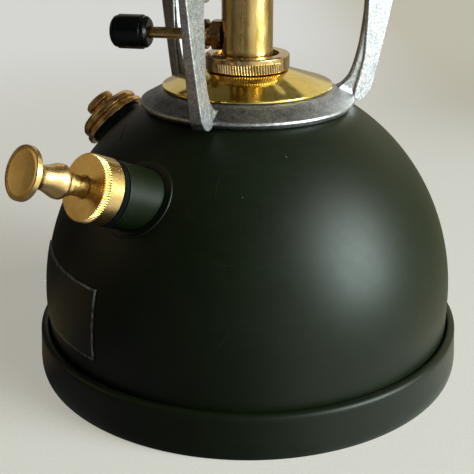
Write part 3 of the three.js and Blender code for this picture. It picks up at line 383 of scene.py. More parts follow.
def make_group(name, inputs, outputs, build):
    """A shader node group; build(nodes, inputs) returns one value for each output. An input is given
    with its starting number, or None for a vector."""
    tree = bpy.data.node_groups.new(name, "ShaderNodeTree")
    for label, start in inputs.items():
        kind = "Vector" if start is None else "Float"
        socket = tree.interface.new_socket(label, in_out="INPUT", socket_type="NodeSocket" + kind)
        if start is not None:
            socket.default_value = start
    for label, kind in outputs.items():
        tree.interface.new_socket(label, in_out="OUTPUT", socket_type="NodeSocket" + kind)
    nodes = Nodes(tree)
    entry = tree.nodes.new("NodeGroupInput")
    leave = tree.nodes.new("NodeGroupOutput")
    for socket, value in zip(leave.inputs, build(nodes, entry.outputs)):
        nodes.feed(socket, value)
    return tree


# Camera

def make_camera():
    """Pinhole camera fitted to the silhouettes of tank, ring, disc, nut, tube and legs."""
    yaw, pitch, roll = -0.721 * DEG, 22.03 * DEG, -0.272 * DEG
    stand = (0, -337.5 * MM, 184.1 * MM)
    focal_pixels, picture_pixels, sensor = 890.1, 474, 36.0
    ahead = np.array((math.sin(yaw) * math.cos(pitch), math.cos(yaw) * math.cos(pitch), -math.sin(pitch)))
    across = np.array((math.cos(yaw), -math.sin(yaw), 0))
    upward = np.cross(across, ahead)
    right = math.cos(roll) * across + math.sin(roll) * upward
    up = -math.sin(roll) * across + math.cos(roll) * upward
    data = bpy.data.cameras.new("camera")
    data.sensor_width = sensor
    data.lens = focal_pixels / picture_pixels * sensor
    data.clip_start = 0.01
    bpy.context.scene.camera = show("camera", data, placed(right, up, -ahead, stand))


# Stage: a pale table, daylight from the right and a room that shows in mirrored rays alone

PALE = (0.665, 0.668, 0.640)
MIRROR_STRENGTH = 1.35


def studio_tone(nodes, entry):
    """Colour of the room by direction round the lantern, for mirrored rays. The angle's share runs from
    0 (back) over 1/4 (left), 1/2 (front) and 3/4 (right) to 1 (back). Low down it is the table, higher
    up the wall, and overhead it is dim."""
    angle = nodes.math("ARCTAN2", entry["East"], nodes.times(entry["North"], -1.0))
    share = nodes.plus(nodes.math("DIVIDE", angle, TURN), 0.5)
    low = nodes.ramp(share, [
        (0.0, 0.26), (0.09, 0.07), (0.15, 0.025), (0.20, 0.03), (0.225, 0.13), (0.272, 0.13), (0.31, 0.05),
        (0.37, 0.16), (0.42, 0.15), (0.46, 0.12), (0.50, 0.18), (0.53, 0.42), (0.56, 0.9), (0.61, 0.95),
        (0.69, 0.80), (0.76, 0.48), (0.844, 0.24), (1.0, 0.26)])
    high = nodes.ramp(share, [
        (0.0, 0.52), (0.05, 0.34), (0.10, 0.08), (0.195, 0.05), (0.22, 0.62), (0.277, 0.62), (0.31, 0.04),
        (0.42, 0.03), (0.50, 0.05), (0.57, 0.40), (0.64, 0.68), (0.72, 0.68), (0.80, 0.45), (0.92, 0.58),
        (1.0, 0.52)])
    tone = nodes.mix(nodes.span(entry["Up"], 0.08, 0.24), low, high)
    over = nodes.mix(nodes.span(share, 0.5, 0.75), (0.045, 0.045, 0.045), (0.13, 0.13, 0.13))
    tone = nodes.mix(nodes.span(entry["Up"], 0.55, 0.93), tone, over)
    warm = nodes.ramp(share, [
        (0.0, (1.0, 0.96, 0.84)), (0.18, (1.0, 0.95, 0.82)), (0.222, (1.0, 0.83, 0.47)),
        (0.275, (1.0, 0.83, 0.47)), (0.32, (1.0, 0.98, 0.92)), (0.55, (0.95, 1.0, 0.98)),
        (0.66, (0.96, 1.0, 0.95)), (0.76, (1.0, 0.98, 0.74)), (0.86, (1.0, 0.97, 0.62)),
        (1.0, (1.0, 0.96, 0.84))])
    return [nodes.mix(1.0, tone, warm, "MULTIPLY")]


studio = make_group("studio_tone", {"East": 0.0, "North": 0.0, "Up": 0.0}, {"Tone": "Color"}, studio_tone)


def by_ray(nodes, kind, scattered, mirrored, seen):
    """One shader for scattered rays, one for mirrored rays and one for what the camera sees straight or
    through glass. The first two are (colour, strength) of a shader of the kind given."""
    path = nodes.add("LightPath").outputs
    plain, shiny = (nodes.add(kind, Color=colour, Strength=strength)
                    for colour, strength in (scattered, mirrored))
    unseen = nodes.mix_shader(path["Is Glossy Ray"], plain, shiny)
    return nodes.mix_shader(nodes.most(path["Is Camera Ray"], path["Is Transmission Ray"]), unseen, seen)


def make_floor():
    """Pale table for the camera, a graded table for mirrored rays, a dim one for scattered rays, and
    far off the same tone as the room, so that no edge shows. A warm painted shade, darker, lies behind at the
    right."""
    material = bpy.data.materials.new("pale_table")
    material.use_nodes = True
    tree = material.node_tree
    tree.nodes.clear()
    nodes = Nodes(tree)
    place = nodes.place()
    east, north, _ = nodes.split(place)
    grain = nodes.noise(place, 900.0, 3.0)
    colour = nodes.mix(nodes.span(grain, 0.3, 0.7), (0.29, 0.268, 0.262), (0.33, 0.308, 0.298))
    # painted shade: a darker, warmer patch of the table's colour behind at the right
    shade = nodes.times(nodes.span(east, 0.04, 0.22), nodes.span(north, 0.2, 0.45))
    shade = nodes.times(shade, nodes.span(north, 1.3, 2.4, 1.0, 0.0))
    glow = nodes.add("Emission", Color=nodes.mix(shade, (0.385, 0.375, 0.325), (0.25, 0.225, 0.155)))
    near = nodes.ordered("AddShader", None, (nodes.add("BsdfDiffuse", Color=colour), glow))
    plain = nodes.add("Emission", Color=nodes.mix(shade, PALE, (0.515, 0.495, 0.405)))
    distance = nodes.vector("LENGTH", place, output="Value")
    seen = nodes.mix_shader(nodes.span(distance, 0.25, 0.8), near, plain)
    tone = nodes.group(studio, East=east, North=north)["Tone"]
    final = by_ray(nodes, "Emission", ((0.05, 0.048, 0.038), 1.0), (tone, MIRROR_STRENGTH), seen)
    nodes.add("OutputMaterial", Surface=final)
    half = 40.0
    mesh = bpy.data.meshes.new("table_top")
    mesh.from_pydata([(-half, -half, 0), (half, -half, 0), (half, half, 0), (-half, half, 0)], [],
                     [(0, 1, 2, 3)])
    mesh.materials.append(material)
    show("table_top", mesh)


def make_world():
    """The room: plain for the camera, graded for mirrored rays and a faint cool fill for scattered ones."""
    world = bpy.data.worlds.new("room")
    bpy.context.scene.world = world
    world.use_nodes = True
    world.node_tree.nodes.clear()
    nodes = Nodes(world.node_tree)
    east, north, up = nodes.split(nodes.add("TexCoord").outputs["Generated"])
    tone = nodes.group(studio, East=east, North=north, Up=up)["Tone"]
    seen = nodes.add("Background", Color=PALE, Strength=1.0)
    final = by_ray(nodes, "Background", ((0.85, 0.95, 1.0), 0.06), (tone, MIRROR_STRENGTH), seen)
    nodes.add("OutputWorld", Surface=final)


def make_window(azimuth, elevation, distance, width, height, watts, colour):
    """A soft rectangular lamp that looks at the lantern's lower half."""
    target = (0, 0, 0.08)
    data = bpy.data.lights.new("window", "AREA")
    data.shape = "RECTANGLE"
    data.size, data.size_y = width, height
    data.energy = watts
    data.color = colour
    ce, se = math.cos(elevation * DEG), math.sin(elevation * DEG)
    out = np.array((math.cos(azimuth * DEG) * ce, math.sin(azimuth * DEG) * ce, se))
    side = np.cross((0, 0, 1), out)
    side /= np.linalg.norm(side)
    show("window", data, placed(side, np.cross(out, side), out, out * distance + target))


def make_sun(azimuth, elevation, spread, strength):
    """Even soft light from the window's side: a distant lamp of a wide angle."""
    data = bpy.data.lights.new("daylight", "SUN")
    data.angle = spread * DEG
    data.energy = strength
    data.specular_factor = 0.3
    show("daylight", data, axis_frame((0, 0, 1), azimuth * DEG, (90 - elevation) * DEG))


make_camera()
make_floor()
make_world()
make_window(azimuth=-27, elevation=15, distance=1.0, width=0.46, height=0.56, watts=16.0,
            colour=(0.76, 1.0, 0.925))
make_sun(azimuth=-24, elevation=27, spread=45, strength=2.6)
bpy.context.scene.view_settings.view_transform = "Standard"


# Shared surface patterns

def mottle_pattern(nodes, entry):
    """Cloudy patches at two sizes, the small one about a sixth of the large, each 0 to 1."""
    large = nodes.noise(entry["Vector"], entry["Scale"], 3.0, 0.6, 0.4)
    small = nodes.noise(entry["Vector"], nodes.times(entry["Scale"], 6.0), 4.0, 0.65)
    both = nodes.plus(nodes.times(large, 0.6), nodes.times(small, 0.4))
    return [nodes.span(both, 0.36, 0.64), nodes.span(small, 0.35, 0.65)]


def speck_pattern(nodes, entry):
    """Scattered round specks: cells whose random value is under Share hold one, of Size cells radius."""
    cells = nodes.add("TexVoronoi", Vector=entry["Vector"], Scale=entry["Scale"])
    chance = nodes.add("SeparateColor", Color=cells.outputs["Color"])
    chosen = nodes.math("LESS_THAN", chance, entry["Share"])
    near = nodes.minus(1.0, nodes.math("DIVIDE", cells.outputs["Distance"], entry["Size"]))
    return [nodes.times(nodes.span(near, 0.0, 0.5), chosen)]


def scratch_pattern(nodes, entry):
    """Fine lines: the edges of cells that are drawn out along three crossing ways, broken by noise."""
    total = 0.0
    for turn, stretch in ((0.5, 9.0), (1.9, 7.0), (2.7, 12.0)):
        way = nodes.mapped(entry["Vector"], (1, stretch, stretch), (0, 0, turn))
        cells = nodes.add("TexVoronoi", {"feature": "DISTANCE_TO_EDGE"}, Vector=way, Scale=entry["Scale"])
        line = nodes.span(cells, 0.0, entry["Width"], 1.0, 0.0)
        gaps = nodes.span(nodes.noise(way, nodes.times(entry["Scale"], 0.7), 2.0), 0.5, 0.62)
        total = nodes.most(total, nodes.times(line, gaps))
    return [total]


def cast_pattern(nodes, entry):
    """Skin of a sand casting: rounded grains on a slow swell, as a height from 0 up."""
    grain = nodes.add("TexVoronoi", {"feature": "SMOOTH_F1"}, Vector=entry["Vector"], Scale=entry["Scale"],
                      Smoothness=0.6)
    fine = nodes.noise(entry["Vector"], nodes.times(entry["Scale"], 2.6), 3.0, 0.6)
    swell = nodes.noise(entry["Vector"], nodes.times(entry["Scale"], 0.16), 2.0)
    height = nodes.plus(nodes.times(grain, 0.5), nodes.times(fine, 0.4))
    return [nodes.plus(height, nodes.times(swell, 0.5))]


mottle = make_group("mottle", {"Vector": None, "Scale": 60.0}, {"Patches": "Float", "Grain": "Float"},
                    mottle_pattern)
specks = make_group("specks", {"Vector": None, "Scale": 200.0, "Share": 0.05, "Size": 0.2},
                    {"Mask": "Float"}, speck_pattern)
scratches = make_group("scratches", {"Vector": None, "Scale": 30.0, "Width": 0.01}, {"Mask": "Float"},
                       scratch_pattern)
cast_skin = make_group("cast_skin", {"Vector": None, "Scale": 900.0}, {"Height": "Float"}, cast_pattern)


# Looks

def surface(name, build, **fixed):
    """A material whose Principled shader takes fixed values and what build(nodes) returns by socket name."""
    material = bpy.data.materials.new(name)
    material.use_nodes = True
    nodes = Nodes(material.node_tree)
    shader = next(n for n in material.node_tree.nodes if n.type == "BSDF_PRINCIPLED")
    for socket, value in fixed.items():
        nodes.feed(shader.inputs[socket.replace("_", " ")], value)
    for socket, value in build(nodes).items():
        nodes.feed(shader.inputs[socket], value)
    return material


def paint_look(nodes):
    """Dark satin stove paint with a fine orange-peel grain, a few pale specks and hairline scratches."""
    place = nodes.place()
    patches, grain = nodes.group(mottle, Vector=place, Scale=45.0)[:2]
    colour = nodes.mix(nodes.times(patches, 0.6), (0.0038, 0.0062, 0.0017), (0.0052, 0.0080, 0.0026))
    dust = nodes.group(specks, Vector=place, Scale=95.0, Share=0.035, Size=0.055)[0]
    lines = nodes.group(scratches, Vector=place, Scale=11.0, Width=0.0035)[0]
    worn = nodes.most(nodes.times(dust, 0.7), nodes.times(lines, 0.03))
    peel = nodes.noise(place, 2600.0, 2.0, 0.6)
    return {"Base Color": nodes.mix(worn, colour, (0.33, 0.33, 0.30)),
            "Roughness": nodes.span(grain, 0.0, 1.0, 0.385, 0.415), "Normal": nodes.bump(peel, 0.00005, 0.35)}


# Marks on the dome that the photograph shows, in millimetres: (from, to or None, half width, strength)
SCRATCH = [((-45.6, -11.4, 97.9), (-46.2, -16.4, 96.4), 0.24, 1.0),
           ((-46.2, -16.4, 96.4), (-46.9, -21.4, 94.3), 0.28, 1.0)]
SPECKS = [((62.0, -51.6, 37.5), None, 0.4, 1.0), ((13.2, -47.7, 96.0), None, 0.25, 0.45),
          ((-1.6, -60.0, 85.9), None, 0.25, 0.45)]


def mark_mask(nodes, place, marks):
    """Greatest strength of the marks at a place: full in the core of a mark's line, none beyond its half
    width. The nearest point of a line a + s (b - a) has s = (p - a).(b - a) / |b - a|^2 in 0..1."""
    core, total = 0.6, 0.0
    for start, end, half, strength in marks:
        start, end = np.array(start) * MM, np.array(end or start) * MM
        line = tuple((end - start).tolist())
        square = float(np.dot(end - start, end - start)) or 1.0
        away = nodes.vector("SUBTRACT", place, tuple(start))
        share = nodes.math("DIVIDE", nodes.vector("DOT_PRODUCT", away, line, output="Value"), square)
        share = nodes.math("MINIMUM", nodes.most(share, 0.0), 1.0)
        foot = nodes.add("VectorMath", {"operation": "SCALE"}, Vector=line, Scale=share)
        gap = nodes.vector("LENGTH", nodes.vector("SUBTRACT", away, foot), output="Value")
        spot = nodes.span(gap, half * core * MM, half * MM, 1.0, 0.0)
        total = nodes.most(total, nodes.times(spot, strength))
    return total


def dome_look(nodes):
    """The paint with a short dark scratch in two lengths behind the pump, and three pale specks."""
    looks = paint_look(nodes)
    place = nodes.place()
    dark, pale = mark_mask(nodes, place, SCRATCH), mark_mask(nodes, place, SPECKS)
    colour = nodes.mix(nodes.times(pale, 0.7), looks["Base Color"], (0.42, 0.42, 0.38))
    looks["Base Color"] = nodes.mix(dark, colour, (0.0004, 0.0005, 0.0004))
    looks["Roughness"] = nodes.plus(looks["Roughness"], nodes.times(dark, 0.5))
    return looks


def label_look(nodes):
    """Dark plate with a thin worn silver line 0.55 mm inside its edge, and a painted brownish sheen, a
    painted reflection, at its left.
    The wrap holds the plate's own x and y, from its middle."""
    place = nodes.add("UVMap", {"uv_map": "wrap"}).outputs[0]
    x, y, _ = nodes.split(place)
    side = nodes.minus(LABEL_WIDE / 2 * MM, nodes.math("ABSOLUTE", x))
    end = nodes.minus(LABEL_HIGH / 2 * MM, nodes.math("ABSOLUTE", y))
    wear = nodes.noise(place, 420.0, 3.0, 0.6)
    thick = nodes.span(wear, 0.3, 0.7, 0.28 * MM, 0.62 * MM)
    away = nodes.math("ABSOLUTE", nodes.minus(nodes.math("MINIMUM", side, end), 0.55 * MM))
    line = nodes.span(nodes.math("DIVIDE", away, thick), 0.55, 1.0, 1.0, 0.0)
    line = nodes.times(line, nodes.span(wear, 0.34, 0.5, 0.25, 1.0))
    patches, grain = nodes.group(mottle, Vector=place, Scale=130.0)[:2]
    ground = nodes.mix(patches, (0.0045, 0.005, 0.004), (0.0085, 0.0085, 0.0065))
    # painted reflection: a brownish sheen mixed into the plate's colour over its left part
    sheen = nodes.times(nodes.span(x, -0.004, -0.020), nodes.span(patches, 0.2, 1.0, 0.4, 1.0))
    ground = nodes.mix(sheen, ground, (0.045, 0.034, 0.014))
    rough = nodes.mix(line, nodes.mix(grain, (0.34, 0.34, 0.34), (0.46, 0.46, 0.46)), (0.3, 0.3, 0.3))
    return {"Base Color": nodes.mix(line, ground, (0.34, 0.345, 0.33)), "Roughness": rough,
            "Normal": nodes.bump(line, 0.00003, 0.6)}


def cast_look(nodes):
    """Cast aluminium: mottled grey with rounded sand grain. The ring's top, under the height of the
    legs' feet and inside the rim, is darker with blotchy grime and painted shade, both thinning towards the
    lit right."""
    place = nodes.place()
    x, y, z = nodes.split(place)
    radius = nodes.math("SQRT", nodes.plus(nodes.times(x, x), nodes.times(y, y)))
    patches, grain = nodes.group(mottle, Vector=place, Scale=260.0)[:2]
    height = nodes.group(cast_skin, Vector=place, Scale=1300.0)[0]
    colour = nodes.mix(patches, (0.385, 0.367, 0.377), (0.56, 0.535, 0.555))
    colour = nodes.mix(nodes.span(grain, 0.25, 0.8, 0.5, 0.0), colour, (0.17, 0.17, 0.18))
    # painted shade with grime: darker towards the left, away from the light, inside the rim and under the
    # feet
    grime_and_shade = nodes.times(nodes.span(x, -0.01, 0.03, 0.95, 0.55), nodes.span(grain, 0.0, 1.0, 1.0, 0.72))
    within_rim, under_feet = (radius, 0.0400, 0.0408), (z, 0.1085, 0.1105)
    for limit in (within_rim, under_feet):
        grime_and_shade = nodes.times(grime_and_shade, nodes.span(*limit, 1.0, 0.0))
    blots = nodes.span(nodes.noise(place, 230.0, 4.0, 0.7), 0.36, 0.62)
    colour = nodes.mix(grime_and_shade, colour, nodes.mix(blots, (0.055, 0.056, 0.053), (0.17, 0.172, 0.168)))
    return {"Base Color": colour, "Roughness": nodes.span(grain, 0.0, 1.0, 0.38, 0.50),
            "Normal": nodes.bump(height, 0.00010, 0.5)}


def glass_look(nodes):
    """Clear glass, a little rougher in clouds of faint soot."""
    soot = nodes.noise(nodes.place(), 18.0, 3.0)
    return {"Roughness": nodes.span(soot, 0.4, 0.8, 0.015, 0.06)}


def cloth_look(nodes):
    """Woven mantle: 60 waves round the axis crossed with waves up it."""
    x, y, z = nodes.split(nodes.place())
    round_way = nodes.math("SINE", nodes.times(nodes.math("ARCTAN2", y, x), 60.0))
    threads = nodes.times(round_way, nodes.math("SINE", nodes.times(z, 4200.0)))
    colour = nodes.mix(nodes.span(threads, -1.0, 1.0), (0.62, 0.61, 0.56), (0.88, 0.87, 0.82))
    return {"Base Color": colour, "Normal": nodes.bump(threads, 0.0003, 0.6)}


def cloudy_look(dark, light, low, high, scale, skin, run=1.0):
    """Colour and roughness that drift in cloudy patches, drawn out upwards where run is under 1, on a
    skin of fine noise of the depth given."""
    def build(nodes):
        place = nodes.place()
        along = nodes.mapped(place, (1, 1, run)) if run != 1.0 else place
        patches, grain = nodes.group(mottle, Vector=along, Scale=scale)[:2]
        height = nodes.noise(place, 2500.0, 3.0)
        return {"Base Color": nodes.mix(patches, dark, light),
                "Roughness": nodes.span(grain, 0.0, 1.0, low, high), "Normal": nodes.bump(height, skin, 0.6)}
    return build


# Dark and light colour, least and greatest roughness, patches per metre, depth of the skin, run
FINE, FINER = 0.000008, 0.000003
METALS = {
    "brass": ((0.54, 0.36, 0.13), (0.76, 0.55, 0.24), 0.20, 0.32, 60.0, 0.0),
    "aged_brass": ((0.56, 0.34, 0.13), (0.68, 0.43, 0.18), 0.20, 0.26, 35.0, 0.0),
    "nut_brass": ((0.48, 0.32, 0.14), (0.70, 0.50, 0.25), 0.14, 0.24, 90.0, FINER),
    "tube_brass": ((0.46, 0.29, 0.08), (0.76, 0.56, 0.26), 0.22, 0.30, 90.0, FINE, 0.15),
    "gland_brass": ((0.24, 0.14, 0.065), (0.44, 0.26, 0.13), 0.14, 0.24, 60.0, 0.0),
    "shaft_brass": ((0.46, 0.28, 0.08), (0.66, 0.43, 0.15), 0.22, 0.32, 90.0, 0.0),
    "pump_brass": ((0.64, 0.405, 0.14), (0.75, 0.515, 0.225), 0.26, 0.28, 170.0, 0.0),
    "disc_brass": ((0.72, 0.50, 0.07), (0.88, 0.67, 0.20), 0.08, 0.15, 60.0, FINER),
    "bright_steel": ((0.42, 0.42, 0.41), (0.60, 0.60, 0.59), 0.26, 0.36, 40.0, 0.0),
}
# The same, after the specular level
PLAIN = {
    "knob_plastic": (0.22, (0.0025, 0.0035, 0.0035), (0.005, 0.0065, 0.0065), 0.20, 0.28, 90.0, 0.0),
    "seal": (0.03, (0.003, 0.0033, 0.003), (0.006, 0.0066, 0.006), 0.7, 0.8, 60.0, FINE),
    "cup_leather": (0.5, (0.10, 0.05, 0.022), (0.19, 0.10, 0.05), 0.5, 0.7, 60.0, FINE),
    "nozzle_ceramic": (0.5, (0.70, 0.67, 0.60), (0.82, 0.80, 0.74), 0.55, 0.7, 60.0, FINE),
}
LOOKS = {
    "tank_paint": surface("tank_paint", paint_look, Specular_IOR_Level=0.19),
    "dome_paint": surface("dome_paint", dome_look, Specular_IOR_Level=0.19),
    "hood_enamel": surface("hood_enamel", paint_look, Specular_IOR_Level=0.5),
    "label": surface("label_plate", label_look, Specular_IOR_Level=0.35),
    "cast_aluminium": surface("cast_aluminium", cast_look, Metallic=1.0),
    "mantle_cloth": surface("mantle_cloth", cloth_look, Roughness=0.9),
    "globe_glass": surface("globe_glass", glass_look, Base_Color=(0.97, 0.99, 0.98),
                           Transmission_Weight=1.0, IOR=1.47),
}
for metal, numbers in METALS.items():
    LOOKS[metal] = surface(metal, cloudy_look(*numbers), Metallic=1.0)
for matter, (gloss, *numbers) in PLAIN.items():
    LOOKS[matter] = surface(matter, cloudy_look(*numbers), Specular_IOR_Level=gloss)


# Tank

def dome_profile():
    """Closed wall section of the dome: a straight foot, then a quarter ellipse, 1 mm thick, up to the neck
    opening, with a lightly rounded edge there."""
    wall, foot_z, mouth_outside, mouth_inside = 1.0, 7.0, 13.2, 13.4
    angles = np.linspace(0, math.acos(mouth_outside / DOME_R), 96)
    outer = np.stack([DOME_R * np.cos(angles), DOME_Z + DOME_RISE * np.sin(angles)], 1)
    angles = np.linspace(math.acos(mouth_inside / (DOME_R - wall)), 0, 40)
    inner = np.stack([(DOME_R - wall) * np.cos(angles), DOME_Z + (DOME_RISE - wall) * np.sin(angles)], 1)
    foot = [(DOME_R, z) for z in (7.2, 10, 13, 16, 19, 22, 25)]
    return np.vstack([[(DOME_R - 0.2, foot_z)], foot, outer, inner, [(DOME_R - wall, foot_z)]])


def seam_collar(matrix, section, sides=128):
    """Closed ring pressed up round a fitting: the section gives (radius from the fitting's axis, height
    above the dome) all the way round. Each line along the axis leaves the dome at the larger root of
    the ellipsoid's quadratic, and the height is laid off along the dome's normal there."""
    section = np.asarray(section, float)
    angle = (np.arange(sides) * TURN / sides)[:, None]
    start = moved(around(section[:, 0], angle), matrix) - (0, 0, DOME_Z)
    way = matrix[:3, 2]
    weight = np.array((DOME_R, DOME_R, DOME_RISE)) ** -2.0
    a = (way ** 2 * weight).sum()
    b = (start * way * weight).sum(-1)
    c = (start ** 2 * weight).sum(-1) - 1
    spot = start + ((-b + np.sqrt(b * b - a * c)) / a)[..., None] * way
    normal = spot * weight
    normal /= np.linalg.norm(normal, axis=-1, keepdims=True)
    points = (spot + (0, 0, DOME_Z) + normal * section[:, 1:]).reshape(-1, 3)
    return points, grid_faces(sides, len(section), True, True).tolist()


def drill(piece, matrix, radius, low, high):
    """Cuts a round hole through a piece along the axis of a frame, and keeps the cut mesh."""
    tool = turned_piece("drill", [(0, low), (radius, low), (radius, high), (0, high)], matrix, sides=96)
    cut = piece.modifiers.new("hole", "BOOLEAN")
    cut.operation, cut.solver, cut.object = "DIFFERENCE", "EXACT", tool
    seen = piece.evaluated_get(bpy.context.evaluated_depsgraph_get())
    mesh = bpy.data.meshes.new_from_object(seen)
    piece.modifiers.clear()
    piece.data = mesh
    bpy.data.objects.remove(tool)


def make_dome():
    """The dome with its two holes, and the seams round pump and filler as shells of the same mesh."""
    dome = make_piece("painted_dome", *revolved(dome_profile(), sides=288))
    drill(dome, PUMP_FRAME, 9.0, -22, 12)
    drill(dome, FILLER_FRAME, 9.8, -5, 5)
    pump_seam = seam_collar(PUMP_FRAME, ring([
        (10.6, -2.0), (10.6, -0.4, 0.1), (11.55, -0.5, 0.15), (11.75, 0.28, 0.15), (12.8, 0.3, 0.3),
        (13.9, 0.5, 0.35), (14.25, -0.4, 0.2), (14.25, -2.0)]))
    filler_seam = seam_collar(FILLER_FRAME, ring([
        (11.0, -2.0), (11.0, 0.5, 0.2), (13.2, 0.5, 0.4), (14.4, -0.05, 0.3), (14.4, -2.0)], steps=4))
    seams = make_piece("seams", *join_shells([pump_seam, filler_seam]))
    whole = bmesh.new()
    whole.from_mesh(dome.data)
    whole.from_mesh(seams.data)
    whole.to_mesh(dome.data)
    whole.free()
    bpy.data.objects.remove(seams)
    dome.data.set_sharp_from_angle(angle=40 * DEG)
    finish_piece(dome, "root", "tank_paint", "tank_dome", "dome_paint")


def make_skirt():
    """Base pan: a dished floor, and a skirt whose side leans in a little and rolls over to the dome."""
    side = smooth_through([(85.95, 1.6), (86.05, 3.0), (86.0, 5.2), (85.68, 9), (85.42, 13),
                           (85.3, 15.1)], 14)
    roll = smooth_through([(85.3, 15.1), (85.12, 15.9), (84.65, 16.6), (83.9, 17.05), (83.1, 17.2),
                           (82.4, 17.05), (81.95, 16.6), (81.8, 15.8)], 22)[1:]
    foot = rounded([(82.9, 4.0), (82.9, 0.0, 0.5), (85.55, 0.0, 0.7), (85.95, 1.6)])[:-1]
    profile = np.vstack([[(0, 3.7), (40, 3.2), (78, 2.3), (81.2, 2.2)], foot, side, roll,
                         [(81.8, 10), (81.8, 5.4), (81.2, 4.0), (80, 3.5), (76, 3.5), (40, 4.4), (0, 5.0)]])
    finish_piece(turned_piece("rolled_base", profile, sides=288), "root", "tank_paint", "tank_base")


def make_label():
    """A thin plate bent round the dome. Rings of a rounded rectangle shrink to its middle on the front
    and on the back; a point (x, y) of the plate sits at azimuth x / R and height y."""
    corner, per_corner, spacing = 0.9, 7, 2.0
    outline = []
    for k, (sx, sy) in enumerate(((1, 1), (-1, 1), (-1, -1), (1, -1))):
        for step in range(per_corner):
            angle = (k + step / (per_corner - 1)) * math.pi / 2
            outline.append(np.array((sx * (LABEL_WIDE / 2 - corner) + corner * math.cos(angle),
                                     sy * (LABEL_HIGH / 2 - corner) + corner * math.sin(angle))))
    dense = []
    for spot, following in zip(outline, outline[1:] + outline[:1]):
        pieces = max(1, int(np.linalg.norm(following - spot) / spacing))
        dense.extend(spot + (following - spot) * m / pieces for m in range(pieces))
    low, high = 0.02, 0.55
    rings = [(0.04, high), (0.25, high), (0.5, high), (0.75, high), (0.93, high), (0.985, high),
             (0.995, high - 0.06), (1.0, high - 0.2), (1.0, low), (0.9, low), (0.5, low), (0.04, low)]
    flat = np.concatenate([np.array(dense) * share for share, _ in rings])
    lift = np.repeat([height for _, height in rings], len(dense))
    z = LABEL_LOW + LABEL_HIGH / 2 + flat[:, 1]
    radius = DOME_R * np.sqrt(1 - np.clip((z - DOME_Z) / DOME_RISE, 0, 1) ** 2) + lift
    azimuth = LABEL_AZIMUTH + flat[:, 0] / DOME_R
    points = around(radius, azimuth, z)
    label = make_piece("label_plate_piece", *join_shells([lofted(np.split(points, len(rings)))]), sharp=60)
    wrap = label.data.uv_layers.new(name="wrap")
    corners = [loop.vertex_index for loop in label.data.loops]
    wrap.data.foreach_set("uv", (flat[corners] * MM).astype(np.float32).ravel())
    finish_piece(label, "root", "label", "label_plate")


# Cast frame: curves of a leg as (radius, height), from the foot up

BAR_INNER = [
    (42.3, 103.65), (41.0, 104.6), (41.2, 106.2), (41.6, 107.7), (42.5, 111.1), (43.5, 115.0), (44.4, 118.85),
    (44.75, 122.6), (44.9, 128.2), (45.1, 133.8), (45.2, 140.8), (45.2, 157.65), (45.2, 175.65),
    (45.2, 195.65), (45.2, 215.65), (45.2, 234.65), (45.2, LEG_TOP)]
BAR_OUTER = [
    (44.9, 103.65), (46.3, 104.5), (47.2, 105.6), (48.1, 107.0), (49.2, 110.7), (50.1, 114.6), (50.9, 118.4),
    (51.7, 122.2), (52.8, 127.3), (54.1, 133.4), (55.35, 140.8), (58.0, 157.65), (59.3, 175.65),
    (59.0, 195.65), (57.4, 215.65), (54.8, 234.65), (52.6, LEG_TOP)]
RIB_EDGE = [
    (33.6, 108.0), (34.8, 108.75), (37.2, 110.25), (39.1, 112.1), (40.4, 114.2), (41.7, 117.85),
    (42.7, 121.7), (43.5, 125.55), (44.0, 129.3), (44.45, 133.05), (44.8, 136.8), (45.0, 140.65), (45.5, 144)]
RIB_ROOT = [
    (34.6, 106.6), (36.4, 106.0), (39.2, 105.6), (43.2, 107.4), (44.8, 110.2), (46.0, 115.0), (46.6, 119.6),
    (47.2, 124.0), (47.6, 128.3), (48.0, 132.4), (48.4, 136.4), (48.6, 140.3), (48.6, 143.7)]


def bar_width(radius):
    """Width of a leg at a radius: the sides are planes that draw together outwards."""
    width, taper, at_radius = 5.2, 0.232, 45.9
    return width - taper * (radius - at_radius)


def leg_bar():
    """Loft of a leg: at each share of the way up, a rounded wedge section between inner and outer curve."""
    rows = []
    for low, high in zip(smooth_through(BAR_INNER, 110), smooth_through(BAR_OUTER, 110)):
        length = np.linalg.norm(high - low)
        near, far = bar_width(low[0]) / 2, bar_width(high[0]) / 2
        section = ring([(0, -near, 0.55), (length, -far, 0.5), (length, far, 0.5), (0, near, 0.55)], steps=4)
        spot = low + section[:, :1] * (high - low) / length
        rows.append(np.stack([spot[:, 0], section[:, 1], spot[:, 1]], 1))
    return lofted(rows)


def leg_rib():
    """Loft of the rib inside a leg: its edge is rounded by arcs, and its sides flare into the ring by
    flare (1 - c / reach)^2, where c is the height above the ring's top. The flare fades out towards
    the bar."""
    half_width, edge_round = 1.8, 0.7
    flare, flare_reach, flare_end, flare_fade = 0.9, 2.4, 44.5, 4
    arc = np.linspace(0, math.pi / 2, 6)
    steps = np.array([1.1, 1.6, 2.2, 2.8, 3.4, 4.0, 4.6, 5.2, 6.0])
    reach = np.concatenate([edge_round - edge_round * np.cos(arc), steps])
    width = np.concatenate([half_width - edge_round + edge_round * np.sin(arc), 0 * steps + half_width])
    rows = []
    for low, high in zip(smooth_through(RIB_EDGE, 70), smooth_through(RIB_ROOT, 70)):
        spot = low + reach[:, None] * (high - low) / np.linalg.norm(high - low)
        clear = np.clip(spot[:, 1] - ring_top(spot[:, 0]), 0, flare_reach)
        fade = np.clip((flare_end - spot[:, 0]) / flare_fade, 0, 1)
        half = width + flare * (1 - clear / flare_reach) ** 2 * fade
        one = np.stack([spot[:, 0], half, spot[:, 1]], 1)
        rows.append(np.vstack([(one * (1, -1, 1))[::-1], one]))
    return lofted(rows)


